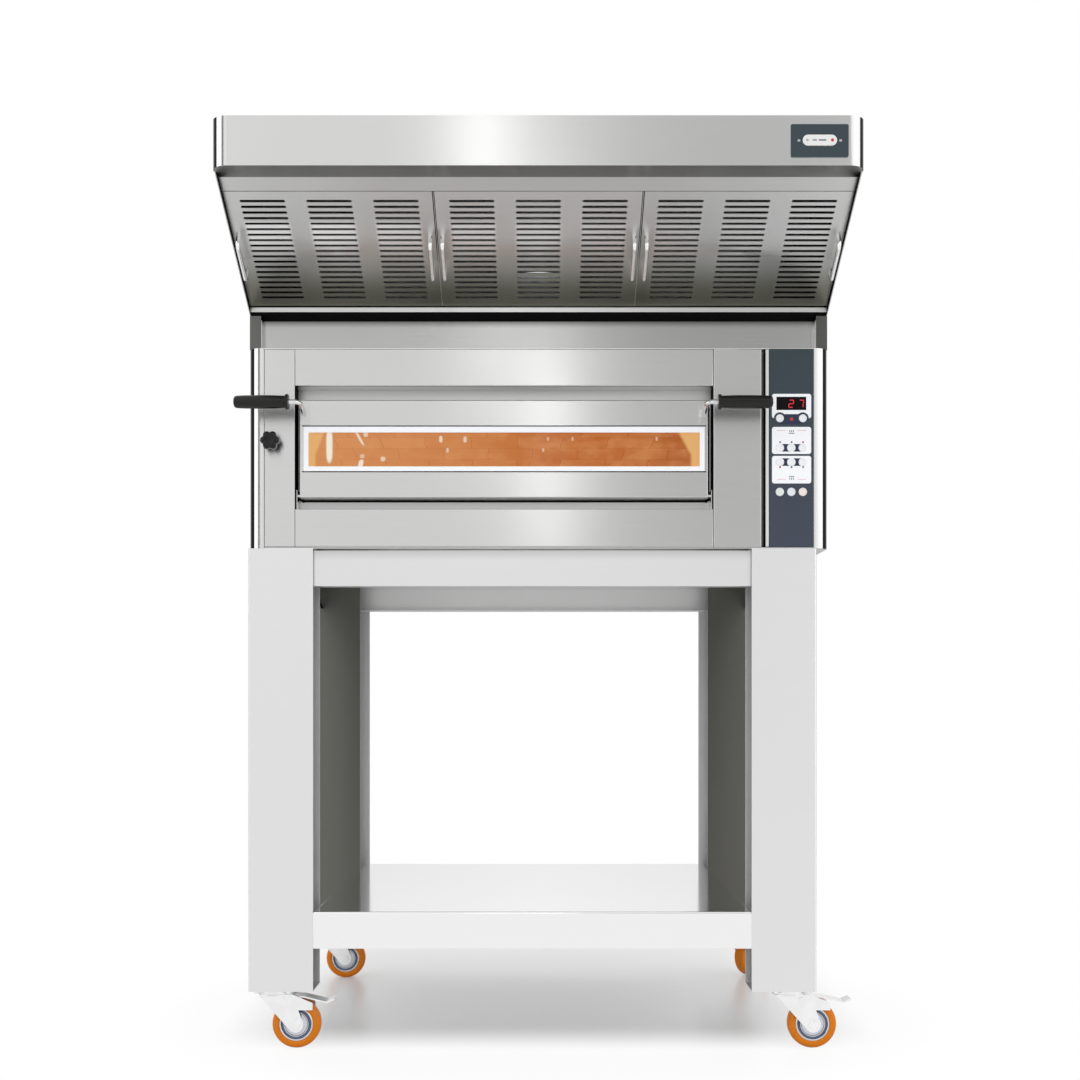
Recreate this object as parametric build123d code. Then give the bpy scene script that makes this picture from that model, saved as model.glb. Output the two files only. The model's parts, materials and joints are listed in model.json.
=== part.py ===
from build123d import *
from math import atan2, cos, degrees, hypot, sin, sqrt, tan
import os

# Single-deck electric pizza oven with an extraction hood above it and a stand on castors below.
# Millimetres. X runs to the right from the oven's centre line, Y runs back from the oven's
# front plane, and Z runs up from the floor. The last lines move every piece so that the
# origin is on the floor at the middle of the whole outline.

# Overall sizes
oven_width = 1180.0
oven_depth = 940.0
oven_height = 407.0
stand_height = 1025.0           # floor to the underside of the oven
hood_height = 336.0             # top of the oven to the top of the hood
hood_reach = 368.0              # hood front ahead of the oven front
case_sheet = 2.0                # oven and hood sheet
front_corner_radius = 30.0      # upright front corners of the oven and of the hood band

# Fits
running_fit = 0.05              # radial play of what turns or slides on a pin or a rod
body_gap = 0.3                  # bare gap between a fixed and a moving piece
hole_gap = 0.5                  # radial play of a bolt, a tube or a gland in its hole

# Stand
stand_short_right = 25.0        # the stand ends this far inside the oven's right side
stand_sheet = 2.5
leg_width = 132.0
leg_depth = 100.0
leg_corner_radius = 4.0
leg_foot_thickness = 3.0
rear_web_extra = 14.0           # the rear legs' rear web reaches further inwards
rail_height = 73.0
rail_drop = 4.0                 # rail top below the leg top
rail_setback = 8.0
rail_flange = 30.0
shelf_height = 287.0            # floor to the top of the shelf
shelf_lip = 75.0

# Castors
wheel_radius = 50.0
tyre_thickness = 15.0
tyre_width = 34.0
tyre_edge_radius = 5.0
hub_boss_radius = 15.0
hub_boss_width = 40.0
hub_groove_radius = 31.0
hub_groove_width = 5.0
hub_groove_depth = 6.0
axle_radius = 6.0
axle_nut_flats = 17.0
axle_nut_height = 5.0
castor_trail = 45.0             # swivel axis to wheel axis
castor_side_gap = 10.5          # outer bolts inside the leg's side wall
castor_wall_gap = 11.5          # inner bolts inside the leg's inner wall
rear_right_heading = 40.0       # this castor stands turned, degrees
crown_clearance = 10.0          # tyre to crown
crown_thickness = 3.0
crown_radius = 34.0
crown_back = 30.0
crown_front = 38.0
bearing_height = 8.0
bearing_bore_radius = 26.0
castor_plate_length = 90.0
castor_plate_width = 80.0
castor_plate_thickness = 3.0
kingpin_radius = 8.0
kingpin_head_radius = 13.0
kingpin_head_height = 3.0
fork_plate = 3.0
fork_side_gap = 1.0             # hub to fork plate
fork_boss_radius = 16.0
fork_skirt_reach = 80.0         # the fork's cheek covers the tyre's shoulder up to here
fork_skirt_drop = 18.0
fork_skirt_bottom = 33.0
castor_bolt_radius = 4.0
castor_bolt_flats = 13.0
castor_bolt_head = 5.3
castor_bolt_nut = 6.5
castor_bolt_end = 2.5
castor_bolt_pitch_x = 66.0
castor_bolt_pitch_y = 56.0

# Brake pedals of the front castors
brake_pivot_reach = 20.0
brake_pivot_drop = 6.0          # pivot below the crown's underside
brake_pin_radius = 3.0
brake_travel = 8.0              # degrees
brake_sheet = 3.0
brake_side_gap = 1.0
brake_tyre_gap = 0.5            # left between the pressed shoe and the tyre
brake_heel = 4.0
brake_bend_reach = 60.0
brake_toe_reach = 108.0
brake_toe_drop = 11.5
brake_tip_reach = 124.0
brake_tip_rise = 6.5
brake_shoe_start = 26.0
brake_shoe_end = 38.0

# Oven front
left_return = 33.0
right_return = 31.0
left_strip_width = 62.0
right_strip_width = 98.0
service_gap = 8.0               # dark channel between the right strip and the edge strip
service_depth = 30.0
edge_strip_width = 7.0
control_width = 90.5
control_gap = 0.5
control_thickness = 3.0
control_proud = 1.0
fascia_lift = 3.0
sill_height = 77.0
top_panel_height = 75.0

# Door
door_side_gap = 10.0
door_gap_below = 23.0
door_gap_above = 28.0
door_setback = 3.0
door_thickness = 44.0
door_seal_gap = 3.0
hinge_in = 27.0                 # hinge axis behind the door's front face
hinge_up = 7.0                  # hinge axis above the door's lower edge
hinge_pin_radius = 4.0
hinge_pin_grip = 6.0            # pin end inside the door's side
hinge_bracket = 3.0
hinge_bracket_depth = 32.0
hinge_bracket_above = 10.0
window_side_margin = 17.0
window_below = 64.0
window_above = 66.0
trim_side = 10.0
trim_bottom = 10.0
trim_top = 12.0
trim_depth = 5.0
pane_thickness = 4.0
pane_pocket_wall = 4.0
liner_window_gap = 2.0

# Door handles
arm_radius = 5.0
arm_inset = 10.0                # arm centre inside the door's side
arm_below_top = 31.0
arm_rise = 15.0
arm_reach = 60.0
arm_bend_radius = 14.0
arm_foot_width = 18.0
arm_foot_height = 40.0
arm_foot_thickness = 3.0
grip_radius = 13.5
grip_end_radius = 12.5
grip_length = 103.0
grip_start = 23.0               # arm centre to the grip's inner end
grip_collar_radius = 15.5
grip_collar_length = 6.5
grip_cap = 6.0                  # solid end beyond the rod

# Baking chamber
chamber_inset = 15.0            # chamber wall inside the recess wall
rear_service_depth = 188.0
chamber_floor_rise = 3.0
door_overlap = 17.0             # the door reaches this far above the chamber's mouth
frame_margin = 2.0
ledge_height = 22.0
ledge_width = 15.0
ledge_end_gap = 8.0
centre_bar_width = 10.0
stone_thickness = 20.0
stone_gap = 0.5
stone_end_gap = 1.0
mouth_drop = 2.0                # mouth below the stones' top
element_radius = 4.0
element_lift = 10.0             # lower element above the floor
element_drop = 12.0             # upper element below the ceiling
element_runs = 6
element_side_gap = 30.0
element_end_gap = 40.0
element_tail = 76.0
side_insulation = 50.0
top_insulation = 60.0
back_insulation = 60.0
insulation_front_gap = 10.0

# Chamber lamp
lamp_radius = 20.0
lamp_wall = 2.0
lamp_flange = 4.0
lamp_flange_thickness = 3.0
lamp_depth = 60.0
lamp_setback = 60.0             # lamp behind the chamber's front
lamp_drop = 60.0                # lamp below the chamber's ceiling
bulb_radius = 11.0
bulb_length = 20.0
bulb_tip_radius = 9.0
bulb_base_radius = 8.0
bulb_base_length = 22.0

# Flue and its damper
vent_inset = 49.0               # pull rod inside the oven's left side
vent_drop = 70.0                # pull rod below the chamber's ceiling
vent_rod_radius = 4.0
vent_travel = 50.0
flue_duct_width = 80.0
flue_duct_depth = 170.0
flue_duct_height = 90.0
flue_duct_setback = 12.0        # duct ahead of the chamber's back
flue_hole_width = 60.0
flue_hole_height = 50.0
flue_pipe_radius = 35.0
flue_pipe_rise = 8.0
damper_lap = 5.0
damper_arm = 8.0
knob_radius = 20.0
knob_lobes = 6
knob_lobe_radius = 7.0
knob_length = 28.0
knob_gap = 8.0
knob_bore_depth = 18.0
knob_edge_radius = 2.0

# Controls
key_radius = 8.0
base_key_radius = 8.5
key_pitch = 23.3
key_proud = 1.5
key_flange = 1.5
key_flange_thickness = 1.5
key_gap = 0.25
key_travel = 1.0
key_stop_gap = 0.2              # pressed key to switch stub
key_edge_radius = 0.8
display_row_drop = 141.0        # key rows below the panel's top
upper_row_drop = 201.0
lower_row_drop = 230.0
base_row_drop = 290.5
display_width = 60.0
display_height = 26.4
display_drop = 110.8
display_gap = 0.3
board_setback = 7.0             # panel back to board
board_thickness = 1.6
board_margin = 6.0
board_above = 25.0
board_below = 15.0
standoff_radius = 3.0
standoff_margin = 6.0
stub_radius = 2.5

# Rear of the oven
gland_inset = 110.0
gland_height = 65.0
gland_bore_radius = 8.0
gland_radius = 12.0
gland_flats = 28.0
gland_flange = 6.0
gland_dome = 12.0
gland_nut = 6.0
gland_thread_end = 8.0
vent_slot_length = 80.0
vent_slot_width = 6.0
vent_slot_pitch_x = 100.0
vent_slot_pitch_z = 16.0
vent_slot_columns = 2
vent_slot_rows = 10
vent_slot_inset = 130.0

# Hood
band_height = 90.0
underside_depth = 64.0
slope_foot_setback = 17.0       # foot of the filter slope behind the oven front
slope_foot_rise = 85.0          # and above the oven's top
side_drop = 12.0                # side plate below the filter plane
side_foot_setback = 20.0
side_flange = 21.0
lower_panel_setback = 40.0
gutter_lip_setback = 13.0
gutter_lip_rise = 85.5
gutter_lip_height = 9.5
gutter_fall = 13.0

# Filters
filter_sheet = 1.7
filter_margin_top = 36.0        # border strip above the filters
filter_length = 316.0
filter_gap = 1.5
frame_gap = 0.3
frame_sheet = 2.0
frame_bar = 14.0
slot_length = 85.0
slot_width = 6.5
slot_columns = 3
slot_rows = 19
slot_pitch_x = 125.0
slot_pitch_y = 14.8
slot_first = 24.3               # first row below the filter's upper edge
bail_radius = 4.0
bail_length = 100.0
bail_start = 112.0              # bail below the filter's upper edge
bail_inset = 11.0
bail_reach = 28.0
bail_bend_radius = 10.0

# Exhaust and blower
collar_radius = 100.0
collar_height = 50.0
collar_inset = 180.0            # collar axis ahead of the hood's back
blower_radius = 150.0
blower_width = 130.0
blower_drop = 168.0             # fan axis below the hood's top
blower_inlet_radius = 80.0
blower_outlet_width = 130.0
motor_radius = 55.0
impeller_radius = 110.0
impeller_width = 90.0
impeller_blades = 24
impeller_blade_depth = 24.0
impeller_plate = 2.0
impeller_hub_radius = 20.0
shaft_radius = 8.0
shaft_seat = 50.0

# Hood switch
hood_plate_length = 104.0
hood_plate_height = 59.0
hood_plate_thickness = 2.0
hood_plate_inset = 84.5         # plate centre inside the hood's right side
hood_plate_corner = 3.0
rocker_length = 62.0
rocker_height = 20.0
rocker_end_gap = 1.2
rocker_side_gap = 0.5
rocker_proud = 2.5
rocker_depth = 10.0
rocker_travel = 4.0             # degrees each way
rocker_pin_radius = 2.0
rocker_pin_setback = 6.0
rocker_ear = 3.0
rocker_ear_length = 12.0
rocker_ear_depth = 12.0
hood_cutout_margin = 6.0

# Places of the stand
stand_depth = oven_depth
stand_left = -oven_width / 2
stand_right = oven_width / 2 - stand_short_right
stand_middle = (stand_left + stand_right) / 2
shelf_left = stand_left + leg_width
shelf_right = stand_right - leg_width
rail_top = stand_height - rail_drop

# Heights in a castor, from the floor up
crown_bottom = 2 * wheel_radius + crown_clearance
crown_top = crown_bottom + crown_thickness
castor_plate_bottom = crown_top + bearing_height
castor_plate_top = castor_plate_bottom + castor_plate_thickness
leg_foot_top = castor_plate_top + leg_foot_thickness
hub_radius = wheel_radius - tyre_thickness
swivel_inset = stand_sheet + castor_side_gap + castor_bolt_pitch_x / 2
swivel_setback = leg_depth - stand_sheet - castor_wall_gap - castor_bolt_pitch_y / 2
fork_inside = hub_boss_width / 2 + fork_side_gap
fork_outside = fork_inside + fork_plate
brake_pivot_height = crown_bottom - brake_pivot_drop

# Where each castor stands, and how far it is turned
castor_places = {
    "front_left": (stand_left + swivel_inset, swivel_setback, 0.0),
    "front_right": (stand_right - swivel_inset, swivel_setback, 0.0),
    "rear_left": (stand_left + swivel_inset, stand_depth - swivel_setback, 0.0),
    "rear_right": (stand_right - swivel_inset, stand_depth - swivel_setback, rear_right_heading),
}
braked_castors = ("front_left", "front_right")

# Places of the oven front, from the sides inwards
oven_left = -oven_width / 2
oven_right = oven_width / 2
inner_left = oven_left + case_sheet
inner_right = oven_right - case_sheet
oven_bottom = stand_height
oven_top = oven_bottom + oven_height
fascia_bottom = oven_bottom + fascia_lift
fascia_top = oven_top - case_sheet
recess_left = oven_left + left_return + left_strip_width
control_right = oven_right - right_return - control_gap
control_left = control_right - control_width
edge_strip_left = control_left - edge_strip_width
right_strip_right = edge_strip_left - service_gap
recess_right = right_strip_right - right_strip_width
recess_bottom = fascia_bottom + sill_height
recess_top = fascia_top - top_panel_height

# Places of the door
door_left = recess_left + door_side_gap
door_right = recess_right - door_side_gap
door_middle = (door_left + door_right) / 2
door_bottom = recess_bottom + door_gap_below
door_top = recess_top - door_gap_above
door_front = door_setback
door_back = door_front + door_thickness
recess_depth = door_back + door_seal_gap
liner_front = door_back - case_sheet
hinge_y = door_front + hinge_in
hinge_z = door_bottom + hinge_up
glass_x = (door_left + window_side_margin, door_right - window_side_margin)
glass_z = (door_bottom + window_below, door_top - window_above)
trim_x = (glass_x[0] - trim_side, glass_x[1] + trim_side)
trim_z = (glass_z[0] - trim_bottom, glass_z[1] + trim_top)
outer_pane_front = door_front + trim_depth
outer_pane_back = outer_pane_front + pane_thickness
inner_pane_front = liner_front - pane_thickness
arm_x = door_left + arm_inset
arm_foot_z = door_top - arm_below_top
grip_y = -arm_reach
grip_z = arm_foot_z + arm_rise
grip_inner_end = arm_x - grip_start
grip_outer_end = grip_inner_end - grip_length - grip_collar_length

# Places of the baking chamber
chamber_left = recess_left + chamber_inset
chamber_right = recess_right - chamber_inset
chamber_middle = (chamber_left + chamber_right) / 2
chamber_front = recess_depth + case_sheet
chamber_back = oven_depth - rear_service_depth
chamber_floor = recess_bottom + chamber_floor_rise
chamber_ceiling = door_top - door_overlap
stone_bottom = chamber_floor + ledge_height
stone_top = stone_bottom + stone_thickness
mouth_bottom = stone_top - mouth_drop
element_heights = (chamber_floor + element_lift, chamber_ceiling - element_drop)
element_spans = (
    (chamber_left + element_side_gap, chamber_middle - element_side_gap),
    (chamber_middle + element_side_gap, chamber_right - element_side_gap),
)
element_tail_end = chamber_back + element_tail
lamp_y = chamber_front + lamp_setback
lamp_z = chamber_ceiling - lamp_drop

# Places of the flue, behind the pull rod in the left strip
vent_x = oven_left + vent_inset
vent_z = chamber_ceiling - vent_drop
duct_right = chamber_left - case_sheet
duct_left = duct_right - flue_duct_width
duct_back = chamber_back - flue_duct_setback
duct_front = duct_back - flue_duct_depth
duct_bottom = vent_z - flue_duct_height / 2
duct_top = vent_z + flue_duct_height / 2
flue_hole_back = duct_back - flue_pipe_radius
flue_hole_front = flue_hole_back - flue_hole_width
damper_front = flue_hole_front - damper_lap
damper_back = flue_hole_back + damper_lap
damper_middle = (damper_front + damper_back) / 2
flue_pipe_x = (duct_left + duct_right) / 2
flue_pipe_y = duct_back - flue_pipe_radius - flue_duct_setback
knob_back = -knob_gap
knob_front = knob_back - knob_length

# Places of the controls
control_front = -control_proud
control_back = control_front + control_thickness
control_middle = (control_left + control_right) / 2
board_front = control_back + board_setback
key_front = control_front - key_proud
key_flange_front = control_back + body_gap
key_flange_back = key_flange_front + key_flange_thickness
stub_front = key_flange_back + key_travel + key_stop_gap
display_z = fascia_top - display_drop

# Every key: its place across the panel, its height and its radius
keys = {
    "key_display_left": (control_middle - key_pitch, fascia_top - display_row_drop, key_radius),
    "key_display_right": (control_middle + key_pitch, fascia_top - display_row_drop, key_radius),
}
for row_name, row_drop, row_radius in (
    ("upper", upper_row_drop, key_radius),
    ("lower", lower_row_drop, key_radius),
    ("base", base_row_drop, base_key_radius),
):
    for column in (1, 2, 3):
        key_x = control_middle + (column - 2) * key_pitch
        keys[f"key_{row_name}_{column}"] = (key_x, fascia_top - row_drop, row_radius)

# Places of the rear
gland_x = oven_right - gland_inset
gland_z = oven_bottom + gland_height
gland_end = oven_depth + gland_flange + gland_dome
gland_start = oven_depth - case_sheet - gland_thread_end
rear_slots_x = oven_right - vent_slot_inset
rear_slots_z = (oven_bottom + oven_top) / 2

# Places of the hood
hood_top = oven_top + hood_height
hood_front = -hood_reach
band_bottom = hood_top - band_height
side_front = hood_front + front_corner_radius
slope_top_y = hood_front + underside_depth
slope_foot_z = oven_top + slope_foot_rise
slope_fall = band_bottom - slope_foot_z
slope_run = slope_foot_setback - slope_top_y
slope_angle = atan2(slope_fall, slope_run)
slope_length = hypot(slope_fall, slope_run)
filter_bay = (oven_width - 2 * case_sheet) / 3
filter_width = filter_bay - filter_gap
filter_centres = {"filter_left": -filter_bay, "filter_centre": 0.0, "filter_right": filter_bay}
frame_level = filter_sheet + frame_gap
lip_bottom = oven_top + gutter_lip_rise - gutter_lip_height
gutter_back = lower_panel_setback + case_sheet
collar_setback = oven_depth - collar_inset
blower_z = hood_top - blower_drop
blower_front = collar_setback - blower_width / 2
blower_back = collar_setback + blower_width / 2
motor_back = oven_depth - case_sheet

# Places of the hood switch
switch_x = oven_right - hood_plate_inset
switch_z = hood_top - band_height / 2 - 1.0
switch_plate_front = hood_front - hood_plate_thickness
rocker_front = switch_plate_front - rocker_proud
rocker_pin_y = hood_front + rocker_pin_setback
rocker_opening = (rocker_length + 2 * rocker_end_gap, rocker_height + 2 * rocker_side_gap)
ear_start = rocker_opening[1] / 2


# Helpers

def block(x, y, z):
    """Box between the low and high values of each pair."""
    size = Box(x[1] - x[0], y[1] - y[0], z[1] - z[0], align=(Align.MIN, Align.MIN, Align.MIN))
    return Pos(x[0], y[0], z[0]) * size


def rod(start, end, radius):
    """Round bar from one point to another."""
    start, end = Vector(*start), Vector(*end)
    return Part() + Solid.make_cylinder(radius, (end - start).length, Plane(start, z_dir=end - start))


def prism_x(points, x):
    """Outline of (y, z) points, run along X between two values."""
    return extrude(Plane.YZ.offset(x[0]) * Polygon(*points, align=None), x[1] - x[0], dir=(1, 0, 0))


def prism_y(outline, y):
    """Sketch drawn in X and Z, run along Y between two values."""
    return extrude(Plane.XZ.offset(-y[0]) * outline, y[1] - y[0], dir=(0, 1, 0))


def hex_bar(centre, flats, bottom, height):
    """Upright hexagonal bar, for bolt heads and nuts."""
    outline = Pos(*centre) * RegularPolygon(flats / 2, 6, major_radius=False)
    return extrude(Plane.XY.offset(bottom) * outline, height)


def front_rounded(half_width, front, back, radius, z):
    """Level plate or block whose two upright front corners are rounded."""
    outline = Pos(0, (front + back) / 2) * Rectangle(2 * half_width, back - front)
    outline = fillet(outline.vertices().sort_by(Axis.Y)[:2], radius)
    return extrude(Plane.XY.offset(z[0]) * outline, z[1] - z[0])


def wrapped_skin(front, back, z):
    """Sheet that runs round the two front corners and back along both sides."""
    outside = front_rounded(oven_width / 2, front, back, front_corner_radius, z)
    inside = front_rounded(
        oven_width / 2 - case_sheet, front + case_sheet, back + case_sheet,
        front_corner_radius - case_sheet, z)
    return outside - inside


def on_slope(shape):
    """Place a shape on the filter slope: local X across, Y down the slope, Z into the hood."""
    return Pos(0, slope_top_y, band_bottom) * Rot(-degrees(slope_angle), 0, 0) * shape


def at_castor(name, shape):
    """Place a shape that is drawn round a swivel axis, with the wheel trailing along X."""
    x, y, heading = castor_places[name]
    return Pos(x, y, 0) * Rot(0, 0, heading) * shape


def across(outline, half_width):
    """Castor outline in X and Z, run along Y to both sides of the swivel axis."""
    return prism_y(outline, (-half_width, half_width))


def wheel_axis(radius, half_width):
    """Cylinder on the wheel's axis."""
    return rod((castor_trail, -half_width, wheel_radius), (castor_trail, half_width, wheel_radius), radius)


# Stand

def left_leg(rear):
    """Channel open to the right, closed by a cap above and a foot plate below."""
    front = stand_depth - leg_depth if rear else 0.0
    corner = (Align.MIN, Align.MIN)
    outside = Pos(stand_left, front) * Rectangle(leg_width, leg_depth, align=corner)
    outside = fillet(outside.vertices().group_by(Axis.X)[0], leg_corner_radius)
    hollow = Pos(stand_left + stand_sheet, front + stand_sheet) * Rectangle(
        leg_width, leg_depth - 2 * stand_sheet, align=corner)
    hollow = fillet(hollow.vertices().group_by(Axis.X)[0], leg_corner_radius - stand_sheet)
    leg = extrude(Plane.XY.offset(castor_plate_top) * (outside - hollow), stand_height - castor_plate_top)
    cap_x = (stand_left + stand_sheet, shelf_left)
    cap_y = (front + stand_sheet, front + leg_depth - stand_sheet)
    leg += block(cap_x, cap_y, (castor_plate_top, leg_foot_top))
    leg += block(cap_x, cap_y, (stand_height - stand_sheet, stand_height))
    if rear:
        web_x = (shelf_left, shelf_left + rear_web_extra)
        leg += block(web_x, (stand_depth - stand_sheet, stand_depth), (castor_plate_top, stand_height))
    return leg


def bolt_holes(z):
    """Through holes for the four bolts of one castor, round its swivel axis."""
    spots = GridLocations(castor_bolt_pitch_x, castor_bolt_pitch_y, 2, 2)
    holes = Sketch() + spots * Circle(castor_bolt_radius + hole_gap)
    return extrude(Plane.XY.offset(z[0]) * holes, z[1] - z[0])


def stand_legs():
    """Four legs; those on the right mirror those on the left."""
    legs = []
    for rear, place in ((False, "front"), (True, "rear")):
        left = left_leg(rear)
        right = mirror(left, about=Plane.YZ.offset(stand_middle))
        for leg, side in ((left, "left"), (right, "right")):
            x, y, heading = castor_places[f"{place}_{side}"]
            legs.append(leg - Pos(x, y, 0) * bolt_holes((castor_plate_top, leg_foot_top)))
    return legs


def rail_section(direction):
    """Channel outline whose web is at zero and whose flanges point in the given direction."""
    web = Pos(direction * stand_sheet / 2, rail_top - rail_height / 2) * Rectangle(stand_sheet, rail_height)
    for edge in (rail_top - stand_sheet / 2, rail_top - rail_height + stand_sheet / 2):
        web += Pos(direction * rail_flange / 2, edge) * Rectangle(rail_flange, stand_sheet)
    return web


def stand_rails():
    """Front and rear rails run inside the legs, the side rails stand between them."""
    inside = (stand_left + stand_sheet, stand_right - stand_sheet)
    between = (leg_depth, stand_depth - leg_depth)
    front = Plane.YZ.offset(inside[0]) * Pos(rail_setback, 0) * rail_section(1)
    front = extrude(front, inside[1] - inside[0], dir=(1, 0, 0))
    rear = mirror(front, about=Plane.XZ.offset(-stand_depth / 2))
    left = prism_y(Pos(stand_left + rail_setback, 0) * rail_section(1), between)
    right = mirror(left, about=Plane.YZ.offset(stand_middle))
    return [front, rear, left, right]


def stand_shelf():
    """Tray whose four lips point down."""
    shelf_y = (0.0, stand_depth - stand_sheet)
    shelf_z = (shelf_height - shelf_lip, shelf_height)
    tray = block((shelf_left, shelf_right), shelf_y, shelf_z)
    tray -= block(
        (shelf_left + stand_sheet, shelf_right - stand_sheet),
        (shelf_y[0] + stand_sheet, shelf_y[1] - stand_sheet),
        (shelf_z[0] - stand_sheet, shelf_z[1] - stand_sheet))
    return [tray]


# Castors

def castor_plate():
    """Mounting plate with the upper bearing ring and the kingpin below it."""
    plate = Pos(0, 0, (castor_plate_bottom + castor_plate_top) / 2) * Box(
        castor_plate_length, castor_plate_width, castor_plate_thickness)
    plate -= bolt_holes((castor_plate_bottom, castor_plate_top))
    ring_bottom = crown_top + body_gap
    ring = rod((0, 0, ring_bottom), (0, 0, castor_plate_bottom), crown_radius)
    ring -= rod((0, 0, ring_bottom), (0, 0, castor_plate_bottom), bearing_bore_radius)
    head_top = crown_bottom - body_gap
    pin = rod((0, 0, head_top), (0, 0, castor_plate_bottom), kingpin_radius)
    head = rod((0, 0, head_top - kingpin_head_height), (0, 0, head_top), kingpin_head_radius)
    return plate + ring + pin + head


def castor_bolts():
    """A bolt and a nut in each hole of the four mounting plates."""
    pieces = []
    for x, y, heading in castor_places.values():
        for spot in GridLocations(castor_bolt_pitch_x, castor_bolt_pitch_y, 2, 2):
            centre = (x + spot.position.X, y + spot.position.Y)
            shank_top = leg_foot_top + castor_bolt_nut + castor_bolt_end
            bolt = hex_bar(centre, castor_bolt_flats, castor_plate_bottom - castor_bolt_head, castor_bolt_head)
            bolt += rod((*centre, castor_plate_bottom), (*centre, shank_top), castor_bolt_radius)
            nut = hex_bar(centre, castor_bolt_flats, leg_foot_top, castor_bolt_nut)
            nut -= rod(
                (*centre, leg_foot_top), (*centre, leg_foot_top + castor_bolt_nut),
                castor_bolt_radius + running_fit)
            pieces += [bolt, nut]
    return pieces


def castor_fork(braked):
    """Bent fork with a round crown and two cheeks, and the axle bolt through them."""
    axle_spot = Pos(castor_trail, wheel_radius)
    crown_edge = Polygon(
        (-crown_back, crown_bottom), (crown_front, crown_bottom),
        (crown_front, crown_top), (-crown_back, crown_top), align=None)
    boss = axle_spot * Circle(fork_boss_radius)
    cheek = make_hull(crown_edge.edges() + boss.edges())
    cheek += Polygon(
        (crown_front, crown_top), (fork_skirt_reach, crown_top - fork_skirt_drop),
        (fork_skirt_reach, crown_top - fork_skirt_bottom), (castor_trail, crown_top - fork_skirt_bottom),
        align=None)
    fork = across(cheek, fork_outside) - across(cheek, fork_inside)
    crown = Rectangle(crown_back + crown_front, 2 * fork_outside)
    crown = Pos((crown_front - crown_back) / 2, 0) * crown + Circle(crown_radius)
    fork += extrude(Plane.XY.offset(crown_bottom) * crown, crown_thickness)
    fork -= rod((0, 0, crown_bottom), (0, 0, crown_top), kingpin_radius + running_fit)
    fork -= wheel_axis(axle_radius, fork_outside)
    if braked:
        fork -= brake_pin(brake_pin_radius + running_fit)
    axle = wheel_axis(axle_radius, fork_outside + axle_nut_height)
    nut = axle_spot * RegularPolygon(axle_nut_flats / 2, 6, major_radius=False)
    axle += prism_y(nut, (fork_outside, fork_outside + axle_nut_height))
    axle += prism_y(nut, (-fork_outside - axle_nut_height, -fork_outside))
    return [fork, axle]


def castor_wheel():
    """Turned hub with a groove in each face, and the moulded tyre round it."""
    half_tyre = tyre_width / 2
    tyre = wheel_axis(wheel_radius, half_tyre)
    tyre = fillet(tyre.edges().filter_by(GeomType.CIRCLE), tyre_edge_radius)
    tyre -= wheel_axis(hub_radius, half_tyre)
    hub = wheel_axis(hub_radius, half_tyre)
    for side in (-1, 1):
        bottom = side * (half_tyre - hub_groove_depth)
        ends = ((castor_trail, bottom, wheel_radius), (castor_trail, side * half_tyre, wheel_radius))
        hub -= rod(*ends, hub_groove_radius) - rod(*ends, hub_groove_radius - hub_groove_width)
    hub += wheel_axis(hub_boss_radius, hub_boss_width / 2)
    hub -= wheel_axis(axle_radius + running_fit, hub_boss_width / 2)
    return [hub, tyre]


def brake_pin(radius):
    """Pivot pin of a brake pedal, long enough to show outside both cheeks."""
    half = fork_outside + brake_sheet / 2
    ends = [(brake_pivot_reach, side * half, brake_pivot_height) for side in (-1, 1)]
    return rod(*ends, radius)


def brake_pedal():
    """Pressed pedal with its shoe; the shoe is cut to fit the tyre when it is down."""
    under = brake_pivot_height + brake_sheet / 2
    toe = under - brake_toe_drop
    outline = Polygon(
        (brake_pivot_reach - brake_heel, under),
        (brake_bend_reach, under),
        (brake_toe_reach, toe),
        (brake_tip_reach, toe + brake_tip_rise),
        (brake_tip_reach - brake_sheet / 3, toe + brake_tip_rise + brake_sheet),
        (brake_toe_reach, toe + brake_sheet),
        (brake_bend_reach, under + brake_sheet),
        (brake_pivot_reach - brake_heel, under + brake_sheet), align=None)
    half_width = fork_inside - brake_side_gap
    pedal = across(outline, half_width)
    shoe_z = (crown_bottom - crown_clearance - brake_sheet, under)
    pedal += block((brake_shoe_start, brake_shoe_end), (-half_width, half_width), shoe_z)
    knuckle_x = (brake_pivot_reach - brake_heel, brake_pivot_reach + brake_heel)
    pedal += block(knuckle_x, (-half_width, half_width), (brake_pivot_height - brake_pin_radius, under))
    pedal += brake_pin(brake_pin_radius)
    pivot = Pos(brake_pivot_reach, 0, brake_pivot_height)
    pressed_tyre = pivot * Rot(0, -brake_travel, 0) * pivot.inverse() * wheel_axis(
        wheel_radius + brake_tyre_gap, fork_inside)
    return pedal - pressed_tyre


# Oven body

def oven_side_panels():
    """Two side panels, each bent round a front corner."""
    skin = wrapped_skin(0.0, oven_depth, (oven_bottom, oven_top))
    middle_left = oven_left + left_return
    middle_right = oven_right - right_return
    reach_y = (-case_sheet, oven_depth + case_sheet)
    reach_z = (oven_bottom - case_sheet, oven_top + case_sheet)
    left = skin & block((oven_left - case_sheet, middle_left), reach_y, reach_z)
    right = skin & block((middle_right, oven_right + case_sheet), reach_y, reach_z)
    return [left, right]


def oven_plate(z):
    """Level plate that fits inside the side panels."""
    return front_rounded(
        inner_right, case_sheet, oven_depth, front_corner_radius - case_sheet, z)


def oven_top_cover():
    """Top sheet with a hole for the flue pipe."""
    cover = oven_plate((fascia_top, oven_top))
    cover -= rod(
        (flue_pipe_x, flue_pipe_y, fascia_top), (flue_pipe_x, flue_pipe_y, oven_top),
        flue_pipe_radius + hole_gap)
    return [cover]


def oven_base():
    """Bottom sheet."""
    return [oven_plate((oven_bottom, oven_bottom + case_sheet))]


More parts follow.
